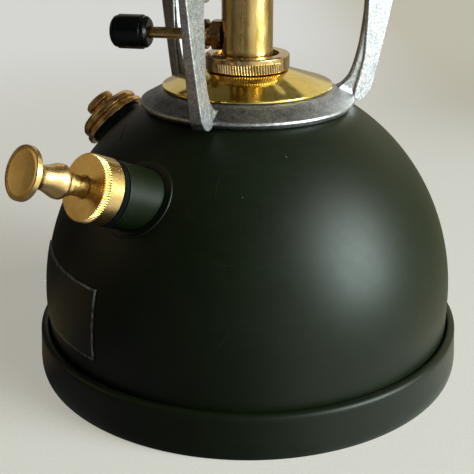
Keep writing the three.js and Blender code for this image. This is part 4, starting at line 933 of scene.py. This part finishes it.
def make_frame():
    """Ring that follows the dome below and is a cone on top, and three legs with rib and lug."""
    clearance = 0.35
    under = [(r, float(dome_z(r)) + clearance) for r in (39.3, 36, 32, 28, 24, 20, 16)]
    hub = revolved(ring([
        (13.6, 112.6), (13.6, 115.9, 0.3), (32.9, float(ring_top(32.9)), 0.2), (36, float(ring_top(36))),
        (40.9, float(ring_top(40.9)) + 0.05, 0.45), (RING_R, 104.9, 0.3), (39.75, 103.25, 0.4), *under]),
        sides=256)
    leg = (leg_bar(), leg_rib(), rounded_box((40.7, -2.5, 146.2), (46.4, 2.5, 149.7)))
    legs = [about_z(part, azimuth) for azimuth in LEG_AZIMUTHS for part in leg]
    piece = make_piece("cast_frame", *join_shells([hub, *legs]), sharp=50)
    finish_piece(piece, "root", "cast_aluminium", "lantern_frame")


# Brass at the neck

ALL_ROUND = (0.0, TURN - 0.001)


def knurled(name, profile, patches, teeth, per_flute, matrix=None, sharp=32):
    """A piece with flutes cut into its turned side. A patch is (from angle, to angle, flutes). The teeth
    are (lowest, highest, depth, slant, fade): the flutes are depth times |sin|^0.8, lean by slant
    radians for each millimetre, and fade out at both ends."""
    coarse, power = 72, 0.8
    angles, end = [], patches[-1][1] - TURN
    for start, stop, flutes in patches:
        gap = max(2, int((start - end) / TURN * coarse))
        angles.extend(end + (start - end) * k / gap for k in range(gap))
        steps = flutes * per_flute
        angles.extend(start + (stop - start) * k / steps for k in range(steps))
        end = stop
    height = np.asarray(profile)[:, 1]
    low, high, depth, slant, fade = teeth

    def ripple(angle, j):
        z = height[j]
        inside = np.clip((z - low) / fade, 0, 1) * np.clip((high - z) / fade, 0, 1)
        total = np.zeros(np.broadcast(angle, z).shape)
        for start, stop, flutes in patches:
            away = (angle - (start + stop) / 2 + math.pi) % TURN - math.pi
            half = (stop - start) / 2
            phase = (away + half) * flutes / (2 * half) * math.pi + slant * (z - low)
            total += np.where(np.abs(away) <= half, np.abs(np.sin(phase)) ** power - 1, 0)
        return depth * inside * total
    return turned_piece(name, profile, matrix, sharp, ripple=ripple, angles=np.array(angles))


def hexagon_ripple(profile, inradius, first, last):
    """Profile points first..last are cut to a hexagon of that inradius; the turned radius stays where it
    is the smaller, which leaves the chamfer's arcs on the corners."""
    radius = np.asarray(profile)[:, 0]

    def ripple(angle, j):
        flat = inradius / np.cos((angle + math.pi / 6) % (math.pi / 3) - math.pi / 6)
        cut = np.minimum(flat, radius[j]) - radius[j]
        return np.where((j >= first) & (j <= last), cut, 0)
    return ripple


def make_neck():
    """The conical disc, the union nut, the control tube, its gland and the knob on the spindle."""
    edge = float(disc_top(32.3))
    profile = ring([
        (14.8, float(disc_top(14.8)) - 0.8), (14.8, float(disc_top(14.8)), 0.2),
        (31.6, float(disc_top(31.6)) - 0.02, 2.0), (32.45, edge - 0.02, 0.22), (32.5, edge - 0.75, 0.2),
        (31.5, float(disc_top(31.5)) - 0.85)])
    piece = turned_piece("conical_disc", profile, sides=256)
    finish_piece(piece, "root", "disc_brass", "disc_plate")

    side_low, side_high = 117.5, 121.9
    side = [(NUT_R, z) for z in np.linspace(side_high, side_low, 26)]
    profile = np.vstack([
        rounded([(13.35, 121.1), (11.9, 121.1, 0.15), (11.9, NUT_TOP, 0.35), (15.5, NUT_TOP, 0.3),
                 (NUT_R, 122.2, 0.25), (NUT_R, side_high)])[:-1], side,
        rounded([(NUT_R, side_low), (15.9, NUT_LOW, 0.3), (14.4, NUT_LOW, 0.2), (14.4, 112.8, 0.2),
                 (13.35, 112.8), (13.35, 121.1)])[1:-1]])
    patches = [(-134.6 * DEG, -41.4 * DEG, 24), (45.4 * DEG, 138.6 * DEG, 24)]
    piece = knurled("knurled_nut", profile, patches, (116.6, 120.75, 0.42, 0.30, 0.25), 12)
    finish_piece(piece, "union_nut", "brass", "union_nut", "nut_brass")

    profile = ring([
        (2.3, 109.5), (9.5, 109.5), (9.5, 119.5), (13.0, 119.5), (13.0, 120.8, 0.2),
        (TUBE_R + 0.5, 120.8, 0.3), (TUBE_R, 121.4, 0.3), (TUBE_R, 156.6, 0.5), (8.2, 158.0, 0.5),
        (4.6, 158.0), (4.6, 155.0), (7.6, 155.0), (7.6, 111.0), (2.3, 111.0)], steps=4)
    piece = turned_piece("control_tube", profile, sides=192)
    finish_piece(piece, "root", "brass", "control_body", "tube_brass")

    profile = np.array([
        (2.5, 9.4), (5.35, 9.4), (5.9, 9.85), (6.0, 10.1), (6.0, 12.8), (5.9, 13.05), (5.3, 13.3),
        (4.4, 13.35), (4.4, 14.9), (4.5, 15.05), (5.35, 15.1), (5.55, 15.25), (5.6, 15.45), (5.6, 16.3),
        (5.5, 16.55), (5.25, 16.7), (2.5, 16.7)])
    piece = turned_piece("gland_hexagon", profile, SPINDLE_FRAME, sides=192, sharp=30,
                         ripple=hexagon_ripple(profile, 5.25, 1, 6))
    finish_piece(piece, "root", "aged_brass", "gland_nut", "gland_brass")

    profile = np.vstack([[(0, 49.3), (2.45, 49.3)], rounded([
        (2.45, 38.3), (4.9, 38.3, 0.6), (6.0, 39.5, 0.8), (6.0, 40.9, 0.05), (6.55, 40.9, 0.25),
        (6.55, 50.6, 0.25), (6.0, 50.6, 0.05), (6.0, 52.0, 0.8), (4.6, 53.2, 0.7), (0, 53.2)], steps=6)])
    piece = turned_piece("moulded_knob", profile, SPINDLE_FRAME, sides=128)
    finish_piece(piece, "control", "knob_plastic", "control_knob")


# Pump and filler

def make_pump():
    """Barrel, washer, cap, rod and knob, all turned about the pump's axis."""
    profile = ring([
        (3.0, -60), (9.6, -60, 0.4), (9.6, -9), (11.4, -9), (11.4, 7.6, 0.3), (10.2, 7.6), (10.2, 15.5, 0.2),
        (8.4, 15.5), (8.4, -58.8), (3.0, -58.8)])
    piece = turned_piece("painted_barrel", profile, PUMP_FRAME)
    finish_piece(piece, "root", "tank_paint", "pump_barrel")

    profile = ring([(10.5, 7.9), (11.45, 7.9, 0.3), (11.45, 9.8, 0.3), (10.5, 9.8)])
    piece = turned_piece("pump_seal", profile, PUMP_FRAME)
    finish_piece(piece, "root", "seal", "pump_washer")

    front = 18.2
    corner = [(11.62 - 0.12 * k * k / 64, front - 2.3 + 1.9 * k / 8) for k in range(9)]
    profile = np.vstack([
        rounded([(10.5, 10.1), (11.6, 10.1, 0.3), (11.6, 15.0, 0.1), (11.62, 15.8)]), corner[1:],
        rounded([(11.5, front - 0.4), (11.3, front, 0.2), (3.95, front, 0.35), (3.75, 15.8), (10.5, 15.8),
                 (10.5, 10.1)])[1:-1]])
    teeth = (front - 2.25, front + 0.1, 0.5, 0.15, 0.15)
    piece = knurled("turned_cap", profile, [(*ALL_ROUND, 80)], teeth, 10, PUMP_FRAME)
    finish_piece(piece, "pump_cap", "pump_brass", "pump_cap")

    profile = rounded([(0, -54), (3.5, -54, 0.3), (3.5, 28.4, 0.3), (0, 28.4)])
    piece = turned_piece("pump_shaft", profile, PUMP_FRAME, sides=96)
    finish_piece(piece, "plunger", "pump_brass", "pump_rod", "shaft_brass")

    swell = smooth_through([
        (4.85, 26.35), (5.45, 26.7), (5.78, 27.3), (5.86, 28.1), (5.7, 29.2), (5.25, 30.5), (4.75, 31.8),
        (4.35, 33.0), (4.08, 34.2), (4.0, 35.3), (4.15, 36.3), (4.6, 37.3), (5.5, 38.2), (6.7, 38.95),
        (7.7, 39.45), (8.35, 39.8)], 72)
    profile = np.vstack([
        [(0, 28.7), (3.55, 28.7), (3.55, 24.3)],
        rounded([(3.7, 24.3), (4.3, 24.3, 0.25), (4.3, 26.2, 0.1), (4.85, 26.35)])[1:-1], swell,
        rounded([(8.35, 39.8), (8.86, 40.2, 0.3), (8.86, 41.95, 0.25), (8.5, 42.2, 0.2), (8.1, 41.8, 0.15),
                 (7.3, 41.95, 0.6), (0, 41.65)])[1:]])
    piece = turned_piece("turned_pump_knob", profile, PUMP_FRAME, sides=192)
    finish_piece(piece, "plunger", "pump_brass", "pump_knob")


def make_filler():
    """The neck with its flange, the ridged cap and the air screw, all turned about the filler's axis."""
    neck = ring([(8.0, -6), (11.6, -6), (11.6, 5.4, 0.3), (8.0, 5.4, 0.3)])
    flange = [(8.0, -4.4), (13.6, -4.4), (13.6, -3.0), (8.0, -3.0)]
    points, faces = join_shells([revolved(part) for part in (neck, flange)])
    piece = make_piece("filler_collar", moved(points, FILLER_FRAME), faces)
    finish_piece(piece, "root", "tank_paint", "filler_neck")

    profile = ring([
        (11.95, 2.4), (13.9, 2.4, 0.4), (13.9, 4.4, 0.5), (12.0, 4.9, 0.3), (12.0, 5.5, 0.3),
        (13.2, 5.9, 0.4), (13.2, 7.6, 0.7), (12.0, 9.1, 0.6), (7.6, 9.2, 0.3), (6.6, 10.4, 0.3), (2.6, 10.5),
        (2.6, 7.0),
        (11.95, 7.0)])
    piece = turned_piece("filler_lid", profile, FILLER_FRAME)
    finish_piece(piece, "filler_cap", "aged_brass", "filler_cap")

    profile = rounded([
        (0, 6.4), (2.2, 6.4, 0.3), (2.2, 10.7), (4.6, 10.7, 0.3), (4.6, 11.7, 0.1), (5.6, 11.8, 0.3),
        (6.2, 12.3, 0.3), (6.2, 14.0, 0.3), (5.4, 14.7, 0.4), (0, 14.75)])
    teeth = (12.1, 14.2, 0.10, 0.0, 0.25)
    piece = knurled("air_screw_knob", profile, [(*ALL_ROUND, 44)], teeth, 8, FILLER_FRAME, sharp=40)
    finish_piece(piece, "air_screw", "aged_brass", "air_release_screw")


# Above the photograph's edge: gallery, globe, burner and mantle

def circle(radius, x=0.0, y=0.0, sides=160):
    """Points round a circle."""
    return around(radius, np.arange(sides) * TURN / sides)[:, :2] + (x, y)


def round_holes(radius, at_radius, count, sides=32):
    """Circles spread evenly round a larger one, the first at azimuth 0."""
    return [circle(radius, x, y, sides) for x, y in circle(at_radius, sides=count)]


def flat_plate(loops, low, high):
    """Plate between closed loops: a constrained Delaunay mesh kept where a point has an odd number of
    loops round it, once on top and once below, with a wall along each loop."""
    edges, first = [], 0
    for loop in loops:
        edges.extend((first + k, first + (k + 1) % len(loop)) for k in range(len(loop)))
        first += len(loop)
    flat = [Vector(p) for p in np.vstack(loops).tolist()]
    spots, _, triangles, *_ = delaunay_2d_cdt(flat, edges, [], 0, 1e-6)
    spots = np.array([tuple(p) for p in spots])
    triangles = np.array([list(t) for t in triangles])
    x, y = spots[triangles].mean(axis=1).T
    inside = np.zeros(len(x), bool)
    for loop in loops:
        for a, b in zip(loop, np.roll(loop, -1, axis=0)):
            if a[1] != b[1]:
                crosses = (a[1] > y) != (b[1] > y)
                inside ^= crosses & (x < (b[0] - a[0]) * (y - a[1]) / (b[1] - a[1]) + a[0])
    triangles = triangles[inside]
    a, b, c = (spots[triangles[:, k]] for k in range(3))
    clockwise = (b[:, 0] - a[:, 0]) * (c[:, 1] - a[:, 1]) < (b[:, 1] - a[:, 1]) * (c[:, 0] - a[:, 0])
    triangles[clockwise] = triangles[clockwise][:, ::-1]
    count = len(spots)
    points = np.vstack([np.column_stack([spots, np.full(count, z)]) for z in (high, low)])
    known = {tuple(edge) for pair in ([0, 1], [1, 2], [2, 0]) for edge in triangles[:, pair].tolist()}
    faces = triangles.tolist() + (triangles[:, ::-1] + count).tolist()
    faces += [[b, a, a + count, b + count] for a, b in known if (b, a) not in known]
    return points, faces


def make_gallery_and_globe():
    """A pierced plate with rim and hub, and the straight glass that stands on it."""
    floor = flat_plate([circle(43.4), circle(10.3, sides=64), *round_holes(3.4, 27, 9)], 150, 151)
    rim = revolved(ring([(43.0, 150.0), (43.9, 150.0, 0.3), (43.9, 155.0, 0.4), (43.0, 155.0, 0.4)]))
    hub = revolved(ring([(10.3, 150.0), (11.5, 150.0), (11.5, 152.2, 0.4), (10.3, 152.2, 0.4)]), sides=96)
    piece = make_piece("globe_gallery", *join_shells([floor, rim, hub]))
    finish_piece(piece, "root", "bright_steel", "gallery")

    low, high = 151.3, 248.1
    wall = ring([(GLOBE_BORE, low, 0.6), (GLOBE_R, low, 0.8), (GLOBE_R, high, 0.9),
                    (GLOBE_BORE, high, 0.9)])
    heights = np.linspace(158, 240, 12)
    sides = [np.column_stack([np.full(12, radius), way])
             for radius, way in ((GLOBE_R, heights), (GLOBE_BORE, heights[::-1]))]
    profile = np.vstack([wall[wall[:, 1] < 200], sides[0], wall[wall[:, 1] >= 200], sides[1]])
    piece = turned_piece("glass_globe", profile, sides=192)
    finish_piece(piece, "root", "globe_glass", "globe")


def make_burner():
    """Vaporiser with its hexagon, preheating cup, ceramic holder, mixing bell and mantle."""
    tube = revolved([(2.2, 155.2), (4.3, 155.2), (4.3, 235.7), (4.0, 236.0), (2.2, 236.0)], sides=96)
    profile = [(2.2, 158.3), (6.2, 158.3), (6.7, 158.7), (6.8, 159.0), (6.8, 161.6), (6.7, 161.9),
               (6.2, 162.3), (2.2, 162.3)]
    hexagon = revolved(profile, sides=192, ripple=hexagon_ripple(profile, 5.9, 1, 6))
    piece = make_piece("vaporiser_tube", *join_shells([tube, hexagon]), sharp=30)
    finish_piece(piece, "root", "brass", "vaporiser")

    profile = ring([
        (4.6, 162.6), (15.0, 162.6, 1.6), (15.1, 170.6, 0.2), (15.5, 171.0, 0.25), (15.2, 171.6, 0.3),
        (14.5, 171.3, 0.3), (14.4, 163.5, 1.2), (4.6, 163.5)])
    piece = turned_piece("preheating_cup", profile, sides=128)
    finish_piece(piece, "root", "brass", "spirit_cup")

    profile = ring([
        (6.4, 221.9, 0.5), (10.9, 221.9, 0.8), (10.9, 228.4), (13.6, 228.4, 0.5), (13.6, 231.0, 0.5),
        (10.9, 231.0), (10.9, 234.9, 0.4), (6.4, 234.9, 0.4)])
    piece = turned_piece("mantle_holder", profile, sides=128)
    finish_piece(piece, "root", "nozzle_ceramic", "burner_nozzle")

    bell = revolved(ring([
        (11.2, 231.3), (14.0, 231.3, 0.4), (14.0, 236.3, 0.8), (19.0, 238.8, 1.6), (19.0, 249.6),
        (19.0, 250.8, 0.5), (6.0, 250.8, 0.3), (6.0, 249.4), (17.5, 249.4), (17.5, 240.0, 1.0),
        (11.2, 237.6)]),
        sides=128)
    flange = flat_plate([circle(25.7), circle(18.2, sides=96), *round_holes(2.1, 21.9, 6, 24)], 249.4, 250.8)
    piece = make_piece("mixing_bell", *join_shells([bell, flange]))
    finish_piece(piece, "root", "bright_steel", "burner_body")

    skin = smooth_through([
        (5.5, 182.1), (8.2, 184.0), (12.2, 188.5), (15.0, 195.5), (15.9, 203.5), (15.6, 211.0),
        (14.2, 217.5), (12.4, 221.8), (11.8, 223.4), (12.0, 225.2), (12.3, 228.0)], 60)
    section = np.vstack([skin, skin[::-1] - (0.6, 0)])

    def folds(angle, j):
        """18 uneven folds, up to 0.42 mm deep, that come in above 214 mm and below 190 mm."""
        height = section[j, 1]
        pull = np.clip((height - 214) / 9, 0, 1) + 0.7 * np.clip((190 - height) / 8, 0, 1)
        return 0.42 * pull * (np.sin(18 * angle + 1.1 * np.sin(3 * angle)) - 1) * 0.5
    piece = turned_piece("woven_mantle", section, sides=240, ripple=folds, sharp=80)
    finish_piece(piece, "root", "mantle_cloth", "mantle")


# Above the photograph's edge: top ring, chimney, hood and bail

def ear():
    """Upright tab with a round head, its outline drawn in a little at both faces."""
    half, rise, foot, middle = 4.0, 4.15, 251.0, (0, 255)
    angles = np.linspace(0, math.pi, 24)
    head = np.stack([half * np.cos(angles), PIVOT_Z + rise * np.sin(angles)], 1)
    outline = np.vstack([[(half, foot)], head, [(-half, foot)]])
    rows = []
    for x, inset in ((54.6, 0.25), (54.85, 0), (56.75, 0), (57.0, 0.25)):
        loop = (outline - middle) * (1 - inset / 4, 1 - inset / 9) + middle
        rows.append(np.column_stack([np.full(len(loop), x), loop]))
    return lofted(rows)


def make_top():
    """Ring on the legs with two ears, its three screws, the chimney and the strap with the hood's stud."""
    inner, outer, low, high = 44.2, 55.0, 250.3, 253.3
    flat = revolved(ring([(inner, low, 0.4), (outer, low, 0.6), (outer, high, 0.6), (inner, high, 0.4)]),
                    sides=224)
    parts = (rounded_box((53.5, -4.0, low), (57.0, 4.0, high), 0.3), ear())
    ears = [about_z(part, turn) for turn in (EAR_AZIMUTH, EAR_AZIMUTH + math.pi) for part in parts]
    piece = make_piece("leg_ring", *join_shells([flat, *ears]))
    finish_piece(piece, "root", "bright_steel", "top_ring")

    screw_r = 48.9
    profile = rounded([(0, 242), (1.5, 242, 0.3), (1.5, 253.6), (2.8, 253.6, 0.2), (2.8, 254.9, 0.5),
                       (2.2, 255.6, 0.5), (0, 255.6)])
    for k, azimuth in enumerate(LEG_AZIMUTHS, 1):
        out = axis_frame(around(screw_r, azimuth), azimuth, 0)
        piece = turned_piece(f"ring_screw_head_{k}", profile, out, sides=64)
        finish_piece(piece, "root", "bright_steel", f"ring_screw_{k}")

    profile = ring([
        (26.0, 246.0), (27.2, 246.0, 0.3), (27.2, 253.6), (45.6, 253.6, 0.2), (45.6, 254.8, 0.3),
        (27.2, 254.8, 0.5), (27.2, 299.0, 0.4), (26.0, 299.0, 0.4), (26.0, 249.1), (23.6, 249.1, 0.2),
        (23.6, 247.9, 0.2), (26.0, 247.9)])
    piece = turned_piece("chimney_tube", profile)
    finish_piece(piece, "root", "bright_steel", "inner_casing")

    strap = [rounded_box(low, high, 0.3) for low, high in (
        ((-29, -4.5, 299.3), (29, 4.5, 300.8)), ((27.5, -4.5, 292.3), (29, 4.5, 300.5)),
        ((-29, -4.5, 292.3), (-27.5, 4.5, 300.5)))]
    pitch, tip = 0.78, 333.9
    thread = [spot for k in range(17) for spot in ((2.5, 320.4 + k * pitch), (2.2, 320.75 + k * pitch))]
    stud = revolved([(0, 300.0), (2.5, 300.0), (2.5, 320.0), *thread, (1.7, tip), (0, tip)], sides=64)
    piece = make_piece("hood_strap", *join_shells([*strap, stud]), sharp=25)
    finish_piece(piece, "root", "bright_steel", "hood_bracket")


def pierced(outer, inner, slots, coarse=120):
    """Wall turned between two paired profiles with round-ended upright slots. A slot row is (radius,
    lowest row, highest row, how many, half width): the cells inside are left out, a wall joins both
    skins wherever a kept cell has no neighbour, and the rows at the ends bend to half circles."""
    digits, closest, bend_reach = 5, 0.0025, 0.9
    angles = set(np.round(np.arange(coarse) * TURN / coarse, digits).tolist())
    for radius, _, _, count, half in slots:
        near = np.array((0, 0.5, 0.78, 0.94, 1, 1.4, 1.9)) * half / radius
        for x in (*near, *-near):
            angles |= {round((k * TURN / count + x) % TURN, digits) for k in range(count)}
    angles = np.array(sorted(angles))
    angles = angles[np.append(np.diff(angles) > closest, True)]
    rows, turns = len(outer), len(angles)
    shift = np.zeros((turns, rows))
    middles = angles + np.diff(np.append(angles, angles[0] + TURN)) / 2
    kept = np.ones((turns, rows - 1), bool)
    for radius, low, high, count, half in slots:
        step = TURN / count
        away, cell_away = (np.abs((a + step / 2) % step - step / 2) * radius for a in (angles, middles))
        bend = np.where(away < half, half - np.sqrt(np.clip(half ** 2 - away ** 2, 0, None)),
                        half * np.clip(1 - (away - half) / (bend_reach * half), 0, 1) ** 2)
        for end, way in ((low, 1), (high, -1)):
            for offset, share in ((-1, 0.3), (0, 1.0), (1, 0.6), (2, 0.2)):
                shift[:, end + way * offset] += way * bend * share
        kept[np.ix_(cell_away < half * 0.999, np.arange(low, high))] = False
    points = np.vstack([around(skin[:, 0], angles[:, None], skin[:, 1] + shift).reshape(-1, 3)
                        for skin in (outer, inner)])
    inside = turns * rows
    faces = []
    for i, j in np.argwhere(kept).tolist():
        loop = [(i + a) % turns * rows + j + b for a, b in ((0, 0), (1, 0), (1, 1), (0, 1))]
        faces.append(loop)
        faces.append([k + inside for k in loop[::-1]])
        for side, (di, dj) in enumerate(((0, -1), (1, 0), (0, 1), (-1, 0))):
            if not 0 <= j + dj < rows - 1 or not kept[(i + di) % turns, j + dj]:
                a, b = loop[side], loop[(side + 1) % 4]
                faces.append([b, a, a + inside, b + inside])
    return points, faces


def make_hood():
    """Skirt with twelve slots, sloping shoulder, waist with ten slots and a domed cap that oversails it."""
    wall, slot_half = 0.9, 2.0
    heights = (256.0, 257.9, 259.4, 261.4, 263.4, 265.9, 268.4, 270.4, 272.4, 273.9, 275.2)
    skirt = [(HOOD_R, z) for z in heights]
    shoulder = rounded([(HOOD_R, 275.6), (HOOD_R, 277.9, 1.6), (47.7, 285.1, 6.0), (WAIST_R, 293.9, 2.0),
                        (WAIST_R, 295.4)])[1:]
    waist = [(WAIST_R, z) for z in (296.9, 298.4, 299.9, 301.9, 303.4, 304.9, 305.7)]
    cap = rounded([(WAIST_R, 306.4), (WAIST_R, 307.2, 0.5), (40.6, 307.4, 0.5), (41.0, 308.4, 0.5),
                   (38.2, 313.7, 4.0), (28.7, 318.0, 9.0), (12.0, 320.4, 6.0), (2.8, 320.9)], steps=6)[1:]
    outer = np.vstack([[(HOOD_R, 253.9), (54.0, 254.3), (54.0, 255.2)], skirt, shoulder, waist, cap])
    way = np.gradient(outer, axis=0)
    normal = np.stack([-way[:, 1], way[:, 0]], 1) / np.linalg.norm(way, axis=1)[:, None]
    inner = outer + normal * wall
    inner[:3] = [(52.7, 253.9), (52.7, 254.6), (52.7, 255.3)]
    inner[-1] = (2.8, 320.0)
    flare = (outer[:, 1] > 306.3) & (outer[:, 1] < 309.5)
    inner[flare] = np.stack([np.minimum(outer[flare, 0] - wall, 39.4), outer[flare, 1] + wall / 2], 1)
    low, crown = 5, 3 + len(skirt) + len(shoulder)
    slots = [(HOOD_R, low, low + 6, 12, slot_half), (WAIST_R, crown, crown + 5, 10, slot_half)]
    piece = make_piece("slotted_hood", *join_shells([pierced(outer, inner, slots)]), sharp=38)
    finish_piece(piece, "hood", "hood_enamel", "hood")

    nut_r = 8.0
    side = [(nut_r, z) for z in np.linspace(322.9, 326.7, 14)]
    profile = np.vstack([
        rounded([(2.8, 321.2), (6.6, 321.2, 0.4), (nut_r, 322.4, 0.4), (nut_r, 322.9)])[:-1], side,
        rounded([(nut_r, 326.7), (nut_r, 327.3, 0.4), (6.9, 328.2, 0.5), (2.8, 328.2, 0.3)])[1:]])
    piece = knurled("hood_knob", profile, [(*ALL_ROUND, 40)], (322.8, 326.9, 0.3, 0.0, 0.25), 10)
    finish_piece(piece, "hood_nut", "brass", "hood_nut", "nut_brass")


def make_bail():
    """Round wire along a U of two straights and a half circle, with a pressed eye at each end; the whole
    hangs back by the resting angle about the pivots."""
    radius, straight, wire, wire_sides, rest = 59.0, 46.0, 1.7, 20, -144.3 * DEG
    bend = np.linspace(0, math.pi, 64)
    line = np.vstack([[(radius, 0, z) for z in (1.5, 15, 30)],
                      np.stack([radius * np.cos(bend), 0 * bend, straight + radius * np.sin(bend)], 1),
                      [(-radius, 0, z) for z in (30, 15, 1.5)]])
    tangent = np.gradient(line, axis=0)
    tangent /= np.linalg.norm(tangent, axis=1)[:, None]
    side = np.array((0.0, 1.0, 0.0))
    angle = (np.arange(wire_sides) * TURN / wire_sides)[:, None]
    shells = [lofted([spot + wire * (np.cos(angle) * side + np.sin(angle) * away)
                      for spot, away in zip(line, np.cross(tangent, side))])]
    eye = ring([(2.3, -wire, 0.3), (4.2, -wire, 0.5), (4.2, wire, 0.5), (2.3, wire, 0.3)])
    points, faces = revolved(eye, sides=64)
    shells.extend((moved(points, axis_frame((end * radius, 0, 0), 0, math.pi / 2)), faces) for end in (1, -1))
    points, faces = join_shells(shells)
    c, s = math.cos(rest), math.sin(rest)
    hung = moved(points, placed((1, 0, 0), (0, c, s), (0, -s, c), (0, 0, 0)))
    piece = make_piece("wire_bail", moved(hung, axis_frame((0, 0, PIVOT_Z), EAR_AZIMUTH, 0)), faces)
    finish_piece(piece, "bail", "bright_steel", "bail_handle")

    profile = rounded([
        (0, 54.6), (2.0, 54.6, 0.2), (2.0, 61.0), (3.6, 61.0, 0.2), (3.6, 62.2, 0.6), (0, 62.8)])
    for name, turn in (("bail_pivot_right", 0.0), ("bail_pivot_left", math.pi)):
        out = axis_frame((0, 0, PIVOT_Z), EAR_AZIMUTH + turn, math.pi / 2)
        finish_piece(turned_piece(name + "_screw", profile, out, sides=64), "root", "brass", name)


for make in (make_dome, make_skirt, make_label, make_frame, make_neck, make_pump, make_filler,
             make_gallery_and_globe, make_burner, make_top, make_hood, make_bail):
    make()


# Every CAD node that is still shown gets its slot's look

slots = {part["node"]: part["material_slot"] for part in frame["record"]["subparts"]}
for name, node in frame["nodes"].items():
    materials = node.data.materials
    if not materials:
        materials.append(None)
    for index in range(len(materials)):
        materials[index] = LOOKS[slots[name]]
